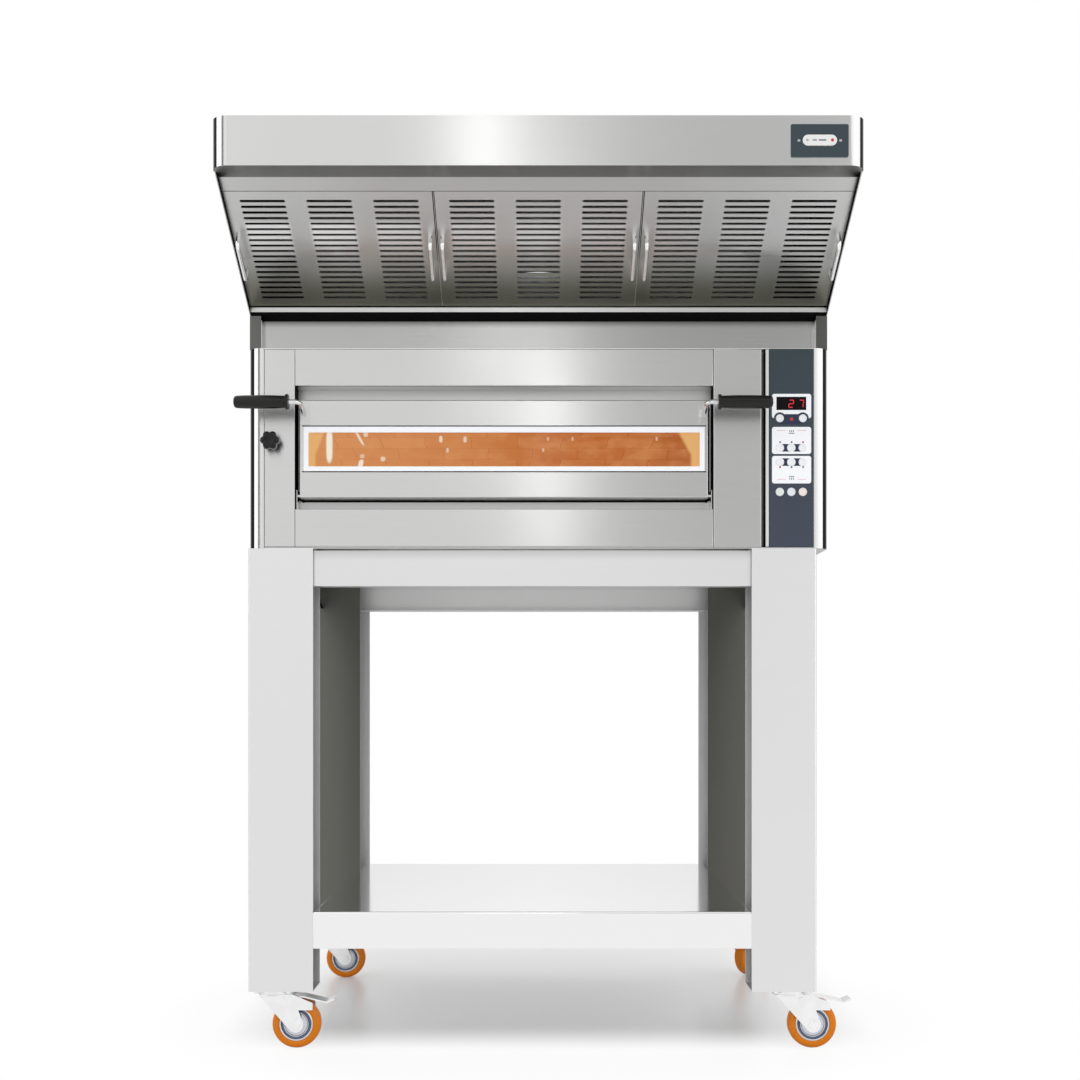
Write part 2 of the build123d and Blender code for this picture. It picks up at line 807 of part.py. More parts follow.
def oven_rear_panel():
    """Rear sheet with ventilation slots behind the controls and a hole for the gland."""
    rear_y = (oven_depth - case_sheet, oven_depth)
    panel = block((inner_left, inner_right), rear_y, (oven_bottom + case_sheet, fascia_top))
    slots = Pos(rear_slots_x, rear_slots_z) * GridLocations(
        vent_slot_pitch_x, vent_slot_pitch_z, vent_slot_columns, vent_slot_rows)
    panel -= prism_y(Sketch() + slots * SlotOverall(vent_slot_length, vent_slot_width), rear_y)
    panel -= rod((gland_x, rear_y[0], gland_z), (gland_x, rear_y[1], gland_z), gland_radius + hole_gap)
    return [panel]


def power_gland():
    """Cable gland: threaded body with a flange and a dome outside, and a locknut inside."""
    flange_end = oven_depth + gland_flange
    hexagon = Pos(gland_x, gland_z) * RegularPolygon(gland_flats / 2, 6, major_radius=False)
    axis = (gland_x, gland_z)

    def turned(start, end, radius):
        return rod((axis[0], start, axis[1]), (axis[0], end, axis[1]), radius)

    body = turned(gland_start, flange_end, gland_radius)
    body += prism_y(hexagon, (oven_depth, flange_end))
    dome = turned(flange_end, gland_end, gland_radius)
    body += fillet(dome.edges().filter_by(GeomType.CIRCLE).sort_by(Axis.Y)[-1], gland_bore_radius / 4)
    body -= turned(gland_start, gland_end, gland_bore_radius)
    nut_y = (oven_depth - case_sheet - gland_nut, oven_depth - case_sheet)
    nut = prism_y(hexagon, nut_y) - turned(*nut_y, gland_radius + running_fit)
    return [body, nut]


def oven_fascia():
    """Front strips round the door recess, each with the returns that line the recess."""
    face = (0.0, case_sheet)
    full = (fascia_bottom, fascia_top)
    recess_z = (recess_bottom, recess_top)
    recess_x = (recess_left, recess_right)
    into = (0.0, recess_depth)
    left = block((oven_left + left_return, recess_left), face, full)
    left += block((recess_left - case_sheet, recess_left), into, recess_z)
    left -= rod((vent_x, face[0], vent_z), (vent_x, face[1], vent_z), vent_rod_radius + running_fit)
    right = block((recess_right, right_strip_right), face, full)
    right += block((recess_right, recess_right + case_sheet), into, recess_z)
    right += block((right_strip_right - case_sheet, right_strip_right), (0.0, service_depth), full)
    top = block(recess_x, face, (recess_top, fascia_top))
    top += block(recess_x, into, (recess_top, recess_top + case_sheet))
    sill = block(recess_x, face, (fascia_bottom, recess_bottom))
    sill += block(recess_x, into, (recess_bottom - case_sheet, recess_bottom))
    edge = block((edge_strip_left, control_left), (control_front, case_sheet), full)
    edge += block((edge_strip_left, edge_strip_left + case_sheet), (control_front, service_depth), full)
    edge += block(
        (right_strip_right, edge_strip_left + case_sheet), (service_depth - case_sheet, service_depth), full)
    return [left, right, top, sill, edge]


# Baking chamber

def element_holes(start, end, radius):
    """Round bars at the places where the element tails pass a wall."""
    holes = Part()
    for height in element_heights:
        for span in element_spans:
            for x in span:
                holes += rod((x, start, height), (x, end, height), radius)
    return holes


def chamber_liner():
    """Steel box of the chamber: front frame, floor, ceiling, walls, ledges and centre bar."""
    wall_left = chamber_left - case_sheet
    wall_right = chamber_right + case_sheet
    floor_bottom = chamber_floor - case_sheet
    ceiling_top = chamber_ceiling + case_sheet
    x = (chamber_left, chamber_right)
    y = (chamber_front, chamber_back)
    wall_z = (floor_bottom, ceiling_top)
    frame = block(
        (recess_left - frame_margin, recess_right + frame_margin), (recess_depth, chamber_front),
        (recess_bottom - frame_margin, recess_top + frame_margin))
    frame -= block(x, (recess_depth, chamber_front), (mouth_bottom, chamber_ceiling))
    floor = block(x, y, (floor_bottom, chamber_floor))
    ceiling = block(x, y, (chamber_ceiling, ceiling_top))
    left = block((wall_left, chamber_left), y, wall_z)
    left -= block(
        (wall_left, chamber_left), (flue_hole_front, flue_hole_back),
        (vent_z - flue_hole_height / 2, vent_z + flue_hole_height / 2))
    right = block((chamber_right, wall_right), y, wall_z)
    right -= rod((chamber_right, lamp_y, lamp_z), (wall_right, lamp_y, lamp_z), lamp_radius + hole_gap)
    back = block((wall_left, wall_right), (chamber_back, chamber_back + case_sheet), wall_z)
    back -= element_holes(chamber_back, chamber_back + case_sheet, element_radius + hole_gap)
    ledge_y = (chamber_front + ledge_end_gap, chamber_back - ledge_end_gap)
    ledge_z = (chamber_floor, stone_bottom)
    half_bar = centre_bar_width / 2
    ledges = [
        block((chamber_left, chamber_left + ledge_width), ledge_y, ledge_z),
        block((chamber_middle - half_bar, chamber_middle + half_bar), ledge_y, ledge_z),
        block((chamber_right - ledge_width, chamber_right), ledge_y, ledge_z),
    ]
    return [frame, floor, ceiling, left, right, back] + ledges


def deck_stones():
    """Two fired slabs side by side on the ledges."""
    y = (chamber_front + stone_end_gap, chamber_back - stone_end_gap)
    z = (stone_bottom, stone_top)
    half_gap = stone_gap / 2
    left = block((chamber_left + half_gap, chamber_middle - half_gap), y, z)
    right = block((chamber_middle + half_gap, chamber_right - half_gap), y, z)
    return [left, right]


def heating_element(span, height):
    """Tube bent to and fro in a level plane, with both tails out through the back wall."""
    pitch = (span[1] - span[0]) / (element_runs - 1)
    near = chamber_front + element_end_gap + pitch / 2
    far = chamber_back - element_end_gap - pitch / 2
    path = []
    for run in range(element_runs):
        x = span[0] + run * pitch
        back_end = element_tail_end if run in (0, element_runs - 1) else far
        forward = run % 2 == 0
        ends = [(x, back_end, height), (x, near, height)]
        path.append(Line(*(ends if forward else ends[::-1])))
        if run < element_runs - 1:
            turn_y, way = (near, -1) if forward else (far, 1)
            path.append(ThreePointArc(
                (x, turn_y, height), (x + pitch / 2, turn_y + way * pitch / 2, height),
                (x + pitch, turn_y, height)))
    start = Plane(origin=(span[0], element_tail_end, height), z_dir=(0, -1, 0))
    return sweep(start * Circle(element_radius), path=Wire(path))


def heating_elements():
    """Two elements under the stones and two under the ceiling."""
    return [heating_element(span, height) for height in element_heights for span in element_spans]


def insulation():
    """Mineral wool round the chamber, cut away for the flue, the lamp and the element tails."""
    wall_left = chamber_left - case_sheet
    wall_right = chamber_right + case_sheet
    back_wall = chamber_back + case_sheet
    ceiling_top = chamber_ceiling + case_sheet
    floor_bottom = chamber_floor - case_sheet
    y = (chamber_front + insulation_front_gap, back_wall)
    z = (floor_bottom, ceiling_top)
    back_y = (back_wall, back_wall + back_insulation)
    top = block((wall_left, wall_right), y, (ceiling_top, ceiling_top + top_insulation))
    bottom = block((wall_left, wall_right), y, (oven_bottom + case_sheet, floor_bottom))
    left = block(
        (wall_left - side_insulation, wall_left), (y[0], duct_front - insulation_front_gap), z)
    right = block((wall_right, wall_right + side_insulation), y, z)
    right -= rod(
        (wall_right, lamp_y, lamp_z), (wall_right + side_insulation, lamp_y, lamp_z),
        lamp_radius + hole_gap)
    back = block((wall_left, wall_right), back_y, z)
    back -= element_holes(*back_y, element_radius + hole_gap)
    return [top, bottom, left, right, back]


def chamber_lamp():
    """Lens against the chamber wall, lamp tube through the insulation, and the bulb in it."""
    def turned(start, end, radius):
        return rod((start, lamp_y, lamp_z), (end, lamp_y, lamp_z), radius)

    tube_end = chamber_right + lamp_depth
    lens = turned(chamber_right - lamp_flange_thickness, chamber_right, lamp_radius + lamp_flange)
    lens = fillet(lens.edges().filter_by(GeomType.CIRCLE).sort_by(Axis.X)[0], lamp_flange_thickness / 2)
    tube = turned(chamber_right, tube_end, lamp_radius)
    tube -= turned(chamber_right, tube_end - lamp_wall, lamp_radius - lamp_wall)
    base_end = tube_end - lamp_wall
    base = turned(base_end - bulb_base_length, base_end, bulb_base_radius)
    glass_end = base_end - bulb_base_length
    glass = turned(glass_end - bulb_length, glass_end, bulb_radius)
    glass = fillet(glass.edges().filter_by(GeomType.CIRCLE).sort_by(Axis.X)[0], bulb_tip_radius)
    return [lens, tube, base + glass]


# Flue

def flue_duct():
    """Box on the chamber's left wall, with the pipe that leads up into the hood."""
    x = (duct_left, duct_right)
    y = (duct_front, duct_back)
    z = (duct_bottom, duct_top)
    pipe_top = oven_top + flue_pipe_rise

    def upright(bottom, top, radius):
        return rod((flue_pipe_x, flue_pipe_y, bottom), (flue_pipe_x, flue_pipe_y, top), radius)

    duct = block(x, y, z) + upright(duct_top, pipe_top, flue_pipe_radius)
    duct -= block(
        (x[0] + case_sheet, x[1]), (y[0] + case_sheet, y[1] - case_sheet),
        (z[0] + case_sheet, z[1] - case_sheet))
    duct -= upright(duct_top - case_sheet, pipe_top, flue_pipe_radius - case_sheet)
    duct -= rod((vent_x, y[0], vent_z), (vent_x, y[0] + case_sheet, vent_z), vent_rod_radius + running_fit)
    return [duct]


def vent_rod():
    """Pull rod whose arm carries the damper plate over the flue hole."""
    plate_right = duct_right - body_gap
    plate_left = plate_right - case_sheet
    half_height = flue_hole_height / 2 + damper_lap
    pull = rod((vent_x, knob_front + knob_length - knob_bore_depth, vent_z),
               (vent_x, damper_middle, vent_z), vent_rod_radius)
    pull += block(
        (vent_x, plate_left), (damper_middle - damper_arm / 2, damper_middle + damper_arm / 2),
        (vent_z - damper_arm / 2, vent_z + damper_arm / 2))
    pull += block(
        (plate_left, plate_right), (damper_front, damper_back),
        (vent_z - half_height, vent_z + half_height))
    return [pull]


def vent_knob():
    """Lobed knob pressed on the front end of the pull rod."""
    outline = Circle(knob_radius - knob_lobe_radius / 2)
    outline += PolarLocations(knob_radius - knob_lobe_radius, knob_lobes) * Circle(knob_lobe_radius)
    knob = prism_y(Pos(vent_x, vent_z) * outline, (knob_front, knob_back))
    knob = chamfer(knob.faces().sort_by(Axis.Y)[0].edges(), knob_edge_radius)
    knob -= rod(
        (vent_x, knob_back - knob_bore_depth, vent_z), (vent_x, knob_back, vent_z),
        vent_rod_radius)
    return [knob]


# Controls

def control_panel():
    """Panel with a hole for each key and for the display."""
    y = (control_front, control_back)
    panel = block((control_left, control_right), y, (fascia_bottom, fascia_top))
    for x, z, radius in keys.values():
        panel -= rod((x, y[0], z), (x, y[1], z), radius + key_gap)
    window = Pos(control_middle, display_z) * Rectangle(
        display_width + 2 * display_gap, display_height + 2 * display_gap)
    return [panel - prism_y(window, y)]


def display_window():
    """Dark window in the panel, and the display module behind it on the board."""
    outline = Pos(control_middle, display_z) * Rectangle(display_width, display_height)
    window = prism_y(outline, (control_front, control_back))
    return [window, prism_y(outline, (control_back, board_front))]


def control_board():
    """Circuit board on four standoffs, with a switch stub behind each key."""
    x = (control_left + board_margin, control_right - board_margin)
    z = (fascia_top - base_row_drop - board_below, display_z + board_above)
    board_back = board_front + board_thickness
    board = block(x, (board_front, board_back), z)
    for corner_x in (x[0] + standoff_margin, x[1] - standoff_margin):
        for corner_z in (z[0] + standoff_margin, z[1] - standoff_margin):
            board += rod((corner_x, control_back, corner_z), (corner_x, board_front, corner_z), standoff_radius)
    for key_x, key_z, radius in keys.values():
        board += rod((key_x, stub_front, key_z), (key_x, board_front, key_z), stub_radius)
    return [board]


def key_cap(x, z, radius):
    """Round key with a flange that stops it behind the panel."""
    cap = rod((x, key_front, z), (x, key_flange_back, z), radius)
    cap = fillet(cap.edges().filter_by(GeomType.CIRCLE).sort_by(Axis.Y)[0], key_edge_radius)
    return [cap + rod((x, key_flange_front, z), (x, key_flange_back, z), radius + key_flange)]


# Door

def door_panel():
    """Outer tray of the door, with the window opening and the hinge bores."""
    tray = block((door_left, door_right), (door_front, liner_front), (door_bottom, door_top))
    tray -= block(
        (door_left + case_sheet, door_right - case_sheet), (door_front + case_sheet, liner_front),
        (door_bottom + case_sheet, door_top - case_sheet))
    tray -= block(trim_x, (door_front, door_front + case_sheet), trim_z)
    return [tray - rod((door_left, hinge_y, hinge_z), (door_right, hinge_y, hinge_z), hinge_pin_radius + running_fit)]


def door_liner():
    """Inner plate of the door, with the box that joins the two panes."""
    plate = block((door_left, door_right), (liner_front, door_back), (door_bottom, door_top))
    ring = block(trim_x, (outer_pane_back, liner_front), trim_z)
    ring -= block(glass_x, (outer_pane_back, liner_front), glass_z)
    ring -= block(*inner_pocket(0.0))
    opening_x = (glass_x[0] - liner_window_gap, glass_x[1] + liner_window_gap)
    opening_z = (glass_z[0] - liner_window_gap, glass_z[1] + liner_window_gap)
    return [plate - block(opening_x, (liner_front, door_back), opening_z) + ring]


def inner_pocket(gap):
    """Low and high values of the inner pane's pocket, drawn in by a gap."""
    inset = pane_pocket_wall + gap
    return (
        (trim_x[0] + inset, trim_x[1] - inset), (inner_pane_front, liner_front),
        (trim_z[0] + inset, trim_z[1] - inset))


def door_glass():
    """Outer and inner pane."""
    outer = block(trim_x, (outer_pane_front, outer_pane_back), trim_z)
    return [outer, block(*inner_pocket(body_gap))]


def window_trim():
    """Frame round the visible glass."""
    y = (door_front, outer_pane_front)
    return [block(trim_x, y, trim_z) - block(glass_x, y, glass_z)]


def both_door_sides(piece):
    """A piece of the left side and its mirror image on the right."""
    return [piece, mirror(piece, about=Plane.YZ.offset(door_middle))]


def door_hinges():
    """Bracket on each recess wall, with the pin that enters the door's side."""
    y = (hinge_y - hinge_bracket_depth / 2, hinge_y + hinge_bracket_depth / 2)
    bracket = block((recess_left, recess_left + hinge_bracket), y, (recess_bottom, hinge_z + hinge_bracket_above))
    bracket += rod(
        (recess_left, hinge_y, hinge_z), (door_left + hinge_pin_grip, hinge_y, hinge_z), hinge_pin_radius)
    return both_door_sides(bracket)


def handle_arms():
    """Bent rod from the door's corner forwards and outwards into the grip."""
    rod_end = grip_outer_end + grip_cap
    corner = (arm_x, grip_y, grip_z)
    path = FilletPolyline(
        (arm_x, door_front, arm_foot_z), corner, (rod_end, grip_y, grip_z), radius=arm_bend_radius)
    start = Plane(origin=path @ 0, z_dir=path % 0)
    arm = sweep(start * Circle(arm_radius), path=path)
    foot = block(
        (arm_x - arm_foot_width / 2, arm_x + arm_foot_width / 2),
        (door_front - arm_foot_thickness, door_front),
        (arm_foot_z - arm_foot_height / 2, arm_foot_z + arm_foot_height / 2))
    arm += foot
    arm -= block((door_left, door_right), (door_front, door_back), (door_bottom, door_top))
    return both_door_sides(arm)


def handle_grips():
    """Dark grips, slightly barrelled, each with a collar at its inner end."""
    collar_end = grip_inner_end - grip_collar_length
    middle = (collar_end + grip_outer_end) / 2
    outline = Polyline(
        (grip_outer_end, 0), (grip_outer_end, grip_end_radius)) + ThreePointArc(
        (grip_outer_end, grip_end_radius), (middle, grip_radius), (collar_end, grip_end_radius)) + Polyline(
        (collar_end, grip_end_radius), (collar_end, grip_collar_radius),
        (grip_inner_end, grip_collar_radius), (grip_inner_end, 0), (grip_outer_end, 0))
    grip = Pos(0, grip_y, grip_z) * revolve(make_face(outline), Axis.X)
    grip -= rod(
        (grip_outer_end + grip_cap, grip_y, grip_z), (grip_inner_end, grip_y, grip_z), arm_radius)
    return both_door_sides(grip)


# Hood

def hood_side():
    """Left side plate, cut below along the filter slope, with its lower front flange."""
    line_y = slope_top_y - side_drop * sin(slope_angle)
    line_z = band_bottom - side_drop * cos(slope_angle)
    top_y = line_y - (band_bottom - line_z) / tan(slope_angle)
    foot_z = line_z - (side_foot_setback - line_y) * tan(slope_angle)
    plate = prism_x([
        (side_front, hood_top), (side_front, band_bottom), (top_y, band_bottom),
        (side_foot_setback, foot_z), (side_foot_setback, oven_top),
        (oven_depth, oven_top), (oven_depth, hood_top)], (oven_left, inner_left))
    return plate + block(
        (inner_left, inner_left + side_flange), (side_foot_setback, side_foot_setback + case_sheet),
        (oven_top, foot_z))


def hood_canopy():
    """Side plates, top plate with its collar, rear plate, underside, border and filter frame."""
    left = hood_side()
    right = mirror(left, about=Plane.YZ)
    inside = (inner_left, inner_right)
    top_z = (hood_top - case_sheet, hood_top)
    inner_front = hood_front + case_sheet
    inner_corner = front_corner_radius - case_sheet
    top = front_rounded(inner_right, inner_front, oven_depth, inner_corner, top_z)

    def upright(bottom, height, radius):
        return rod((0, collar_setback, bottom), (0, collar_setback, bottom + height), radius)

    top -= upright(top_z[0], case_sheet, collar_radius - case_sheet)
    collar = upright(hood_top, collar_height, collar_radius)
    collar -= upright(hood_top, collar_height, collar_radius - case_sheet)
    rear = block(inside, (oven_depth - case_sheet, oven_depth), (oven_top, top_z[0]))
    under_z = (band_bottom, band_bottom + case_sheet)
    underside = front_rounded(inner_right, inner_front, slope_top_y, inner_corner, under_z)
    border = on_slope(block(inside, (0.0, filter_margin_top - filter_gap), (0.0, frame_level)))
    frame = block(inside, (0.0, slope_length), (frame_level, frame_level + frame_sheet))
    opening_y = (filter_margin_top + frame_bar, filter_margin_top + filter_length - frame_bar)
    half_opening = filter_bay / 2 - frame_bar
    for centre in filter_centres.values():
        frame -= block(
            (centre - half_opening, centre + half_opening), opening_y,
            (frame_level, frame_level + frame_sheet))
    return [left, right, top, collar, rear, underside, border, on_slope(frame)]


def hood_front_band():
    """Upright band round the hood's front corners, with the cut-out for the switch."""
    band = wrapped_skin(hood_front, 0.0, (band_bottom, hood_top))
    band &= block(
        (oven_left, oven_right), (hood_front, side_front), (band_bottom, hood_top))
    cutout = Pos(switch_x, switch_z) * Rectangle(
        rocker_opening[0] + 2 * hood_cutout_margin, rocker_opening[1] + 2 * hood_cutout_margin)
    return [band - prism_y(cutout, (hood_front, hood_front + case_sheet))]


def hood_lower_panel():
    """Upright panel between the oven and the filters, bent into a grease gutter at its top."""
    flange_edge = inner_right - side_flange
    bend_z = lip_bottom - gutter_fall
    lip_top = oven_top + gutter_lip_rise
    lip_back = gutter_lip_setback + case_sheet
    panel = prism_x([
        (lower_panel_setback, oven_top), (lower_panel_setback, bend_z), (gutter_back, bend_z),
        (gutter_back, oven_top)], (-flange_edge, flange_edge))
    panel += prism_x([
        (lower_panel_setback, bend_z), (gutter_lip_setback, lip_bottom), (gutter_lip_setback, lip_top),
        (lip_back, lip_top), (lip_back, lip_bottom + case_sheet), (gutter_back, bend_z + case_sheet),
        (gutter_back, bend_z)], (inner_left, inner_right))
    return_y = (side_foot_setback, lower_panel_setback)
    return_top = bend_z - case_sheet
    for inner, outer in ((case_sheet - flange_edge, -flange_edge), (flange_edge, flange_edge - case_sheet)):
        panel += block((min(inner, outer), max(inner, outer)), return_y, (oven_top, return_top))
    return [panel]


def bail_handle(x):
    """Round bar bent into a handle below a filter."""
    bail_y = (filter_margin_top + bail_start, filter_margin_top + bail_start + bail_length)
    path = FilletPolyline(
        (x, bail_y[0], 0), (x, bail_y[0], -bail_reach), (x, bail_y[1], -bail_reach), (x, bail_y[1], 0),
        radius=bail_bend_radius)
    return sweep(Plane(origin=path @ 0, z_dir=path % 0) * Circle(bail_radius), path=path)


def filter_panel(centre):
    """Slotted sheet with two bail handles."""
    middle_y = filter_margin_top + filter_length / 2
    sheet = Pos(centre, middle_y) * Rectangle(filter_width, filter_length)
    rows_middle = filter_margin_top + slot_first + (slot_rows - 1) * slot_pitch_y / 2
    slots = Pos(centre, rows_middle) * GridLocations(slot_pitch_x, slot_pitch_y, slot_columns, slot_rows)
    panel = extrude(sheet - (Sketch() + slots * SlotOverall(slot_length, slot_width)), filter_sheet)
    bail_offset = filter_width / 2 - bail_inset
    bails = [bail_handle(centre + side * bail_offset) for side in (-1, 1)]
    return [on_slope(piece) for piece in [panel] + bails]


def hood_control_plate():
    """Dark plate with an opening for the rocker, and two ears behind it that hold its pin."""
    pin_foot = switch_z - ear_start - rocker_ear
    outline = RectangleRounded(hood_plate_length, hood_plate_height, hood_plate_corner)
    opening = SlotOverall(*rocker_opening)
    plate = prism_y(Pos(switch_x, switch_z) * (outline - opening), (switch_plate_front, hood_front))
    ear_x = (switch_x - rocker_ear_length / 2, switch_x + rocker_ear_length / 2)
    ear_y = (hood_front, hood_front + rocker_ear_depth)
    for ear_bottom in (pin_foot, switch_z + ear_start):
        plate += block(ear_x, ear_y, (ear_bottom, ear_bottom + rocker_ear))
    pin_length = 2 * (ear_start + rocker_ear)
    return [plate + rod(
        (switch_x, rocker_pin_y, pin_foot), (switch_x, rocker_pin_y, pin_foot + pin_length), rocker_pin_radius)]


def hood_switch():
    """Pale rocker that tips about an upright pin."""
    outline = Pos(switch_x, switch_z) * SlotOverall(rocker_length, rocker_height)
    rocker = prism_y(outline, (rocker_front, rocker_front + 2 * rocker_depth))
    front_edges = rocker.faces().sort_by(Axis.Y)[0].edges()
    rocker = chamfer(front_edges, hood_plate_thickness / 2)
    half = rocker_height / 2
    return [rocker - rod(
        (switch_x, rocker_pin_y, switch_z - half), (switch_x, rocker_pin_y, switch_z + half),
        rocker_pin_radius + running_fit)]


# Exhaust blower

def fan_axis(start, end, radius):
    """Cylinder on the fan's axis."""
    return rod((0, start, blower_z), (0, end, blower_z), radius)


def blower_housing():
    """Round housing with an outlet up to the top plate, and its motor on the rear plate."""
    half_outlet = blower_outlet_width / 2
    outlet_top = hood_top - case_sheet
    inside = (blower_front + case_sheet, blower_back - case_sheet)
    housing = fan_axis(blower_front, blower_back, blower_radius)
    housing += block((-half_outlet, half_outlet), (blower_front, blower_back), (blower_z, outlet_top))
    housing -= fan_axis(*inside, blower_radius - case_sheet)
    housing -= block(
        (case_sheet - half_outlet, half_outlet - case_sheet), inside, (blower_z, outlet_top))
    housing -= fan_axis(blower_front, blower_front + case_sheet, blower_inlet_radius)
    housing -= fan_axis(blower_back - case_sheet, blower_back, shaft_radius + hole_gap)
    motor = fan_axis(blower_back, motor_back, motor_radius)
    motor -= fan_axis(blower_back, blower_back + shaft_seat, shaft_radius + running_fit)
    return [housing, motor]


def blower_impeller():
    """Impeller with forward blades between two plates, on the motor's shaft."""
    front = collar_setback - impeller_width / 2
    back = collar_setback + impeller_width / 2
    blade_root = impeller_radius - impeller_blade_depth
    wheel = fan_axis(back - impeller_plate, back, impeller_radius)
    wheel += fan_axis(front, front + impeller_plate, impeller_radius)
    wheel -= fan_axis(front, front + impeller_plate, blade_root)
    wheel += fan_axis(back - shaft_seat, back, impeller_hub_radius)
    blade = Pos(blade_root + impeller_blade_depth / 2, 0) * Rectangle(impeller_blade_depth, impeller_plate)
    blades = PolarLocations(0, impeller_blades) * blade
    wheel += prism_y(Pos(0, blower_z) * (Sketch() + blades), (front, back))
    return [wheel + fan_axis(back - shaft_seat, blower_back + shaft_seat - body_gap, shaft_radius)]


# Every node of the model

nodes = {
    "stand_legs": stand_legs(),
    "stand_rails": stand_rails(),
    "stand_shelf": stand_shelf(),
    "castor_plates": [Pos(x, y, 0) * castor_plate() for x, y, heading in castor_places.values()],
    "castor_bolts": castor_bolts(),
}
for castor in castor_places:
    braked = castor in braked_castors
    nodes[f"castor_fork_{castor}"] = [at_castor(castor, piece) for piece in castor_fork(braked)]
    nodes[f"castor_wheel_{castor}"] = [at_castor(castor, piece) for piece in castor_wheel()]
for castor in braked_castors:
    nodes[f"castor_brake_{castor}"] = [at_castor(castor, brake_pedal())]
nodes |= {
    "oven_side_panels": oven_side_panels(),
    "oven_top_cover": oven_top_cover(),
    "oven_base": oven_base(),
    "oven_rear_panel": oven_rear_panel(),
    "power_gland": power_gland(),
    "oven_fascia": oven_fascia(),
    "chamber_liner": chamber_liner(),
    "deck_stones": deck_stones(),
    "heating_elements": heating_elements(),
    "insulation": insulation(),
    "chamber_lamp": chamber_lamp(),
    "flue_duct": flue_duct(),
    "vent_rod": vent_rod(),
    "vent_knob": vent_knob(),
    "control_panel": control_panel(),
    "display_window": display_window(),
    "control_board": control_board(),
    "door_panel": door_panel(),
    "door_liner": door_liner(),
    "door_glass": door_glass(),
    "window_trim": window_trim(),
    "door_hinges": door_hinges(),
    "handle_arms": handle_arms(),
    "handle_grips": handle_grips(),
    "hood_canopy": hood_canopy(),
    "hood_front_band": hood_front_band(),
    "hood_lower_panel": hood_lower_panel(),
    "hood_control_plate": hood_control_plate(),
    "hood_switch": hood_switch(),
    "blower_housing": blower_housing(),
    "blower_impeller": blower_impeller(),
}
for key_name, (key_x, key_z, radius) in keys.items():
    nodes[key_name] = key_cap(key_x, key_z, radius)
for filter_name, centre in filter_centres.items():
    nodes[filter_name] = filter_panel(centre)

# The origin: the middle of the outline, on the floor
outline_left = min(oven_left, grip_outer_end)
outline_right = max(oven_right, castor_places["front_right"][0] + brake_tip_reach)
outline_front = min(rocker_front, knob_front, grip_y - grip_collar_radius)
outline_back = gland_end
origin_x = (outline_left + outline_right) / 2
origin_y = (outline_front + outline_back) / 2
to_origin = Pos(-origin_x, -origin_y, 0)

os.makedirs("parts", exist_ok=True)
for node_name, pieces in nodes.items():
    solids = [solid for piece in pieces for solid in piece.solids()]
    export_step(to_origin * Compound(solids), f"parts/{node_name}.step")
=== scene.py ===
"""Looks of a single-deck pizza oven with a hood above it and a stand on castors below it.

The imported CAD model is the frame. Sheet metal is a copy of its CAD node with folded and eased
edges, and the turned, moulded and printed pieces are modelled here. Lengths named in
millimetres are in the oven's own frame: X from its centre line, Y from its front plane to the
rear, Z from the floor. Everything else is in metres, in the frame of the part.
"""

import json
import logging
import math
from dataclasses import dataclass
from enum import Enum
from typing import Callable, Iterable, Optional, Sequence, Union

import bmesh
import bpy
from mathutils import Matrix, Vector

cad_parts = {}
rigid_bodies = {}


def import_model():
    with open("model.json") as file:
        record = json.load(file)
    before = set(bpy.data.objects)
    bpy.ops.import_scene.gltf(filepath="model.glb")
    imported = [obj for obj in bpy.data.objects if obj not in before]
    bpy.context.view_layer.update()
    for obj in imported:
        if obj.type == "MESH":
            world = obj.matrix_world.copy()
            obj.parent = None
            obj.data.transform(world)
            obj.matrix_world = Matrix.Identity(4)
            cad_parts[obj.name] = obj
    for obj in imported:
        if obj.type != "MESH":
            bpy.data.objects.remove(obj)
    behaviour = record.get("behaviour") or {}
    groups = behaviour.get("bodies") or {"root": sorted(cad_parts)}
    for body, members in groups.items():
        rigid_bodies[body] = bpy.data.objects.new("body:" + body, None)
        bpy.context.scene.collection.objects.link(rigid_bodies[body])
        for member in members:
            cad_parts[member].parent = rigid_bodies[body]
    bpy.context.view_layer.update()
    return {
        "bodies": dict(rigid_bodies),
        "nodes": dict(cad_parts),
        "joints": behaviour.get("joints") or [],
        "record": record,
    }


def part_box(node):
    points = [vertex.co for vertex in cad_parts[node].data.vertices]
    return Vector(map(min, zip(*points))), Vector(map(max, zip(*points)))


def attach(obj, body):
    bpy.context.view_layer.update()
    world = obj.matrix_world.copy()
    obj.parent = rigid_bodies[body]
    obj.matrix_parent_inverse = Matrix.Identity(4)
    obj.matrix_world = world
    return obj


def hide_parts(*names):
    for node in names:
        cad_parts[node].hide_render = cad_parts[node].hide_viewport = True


log = logging.getLogger("pizza_oven")

MM = 0.001
OVEN_DEPTH_MM = 940.0
# Heights in millimetres between which painted shade darkens the filters, the gutter panel and the
# rails.
FILTER_SHADE_MM = (1612, 1535)
GUTTER_SHADE_MM = (1480, 1499)
RAIL_SHADE_MM = (999, 1024)
SLOT_COLUMN_PITCH = 0.125
FRONT = Vector((0, -1, 0))
UP = Vector((0, 0, 1))

Colour = tuple[float, float, float]
Point = Sequence[float]


class Facing(Enum):
    """Ways in which a folded sheet's rounded side may look."""

    FORWARD = (0, -1, 0)
    UP = (0, 0, 1)
    DOWN = (0, 0, -1)


def colour(red: int, green: int, blue: int) -> Colour:
    """Screen colour of 0 to 255 as the linear colour that shaders use.

    Args:
        red: first channel.
        green: second channel.
        blue: third channel.

    Returns:
        The three linear channels.
    """
    def linear(value: int) -> float:
        """One channel, made linear."""
        level = value / 255
        return level / 12.92 if level <= 0.04045 else ((level + 0.055) / 1.055) ** 2.4
    return linear(red), linear(green), linear(blue)


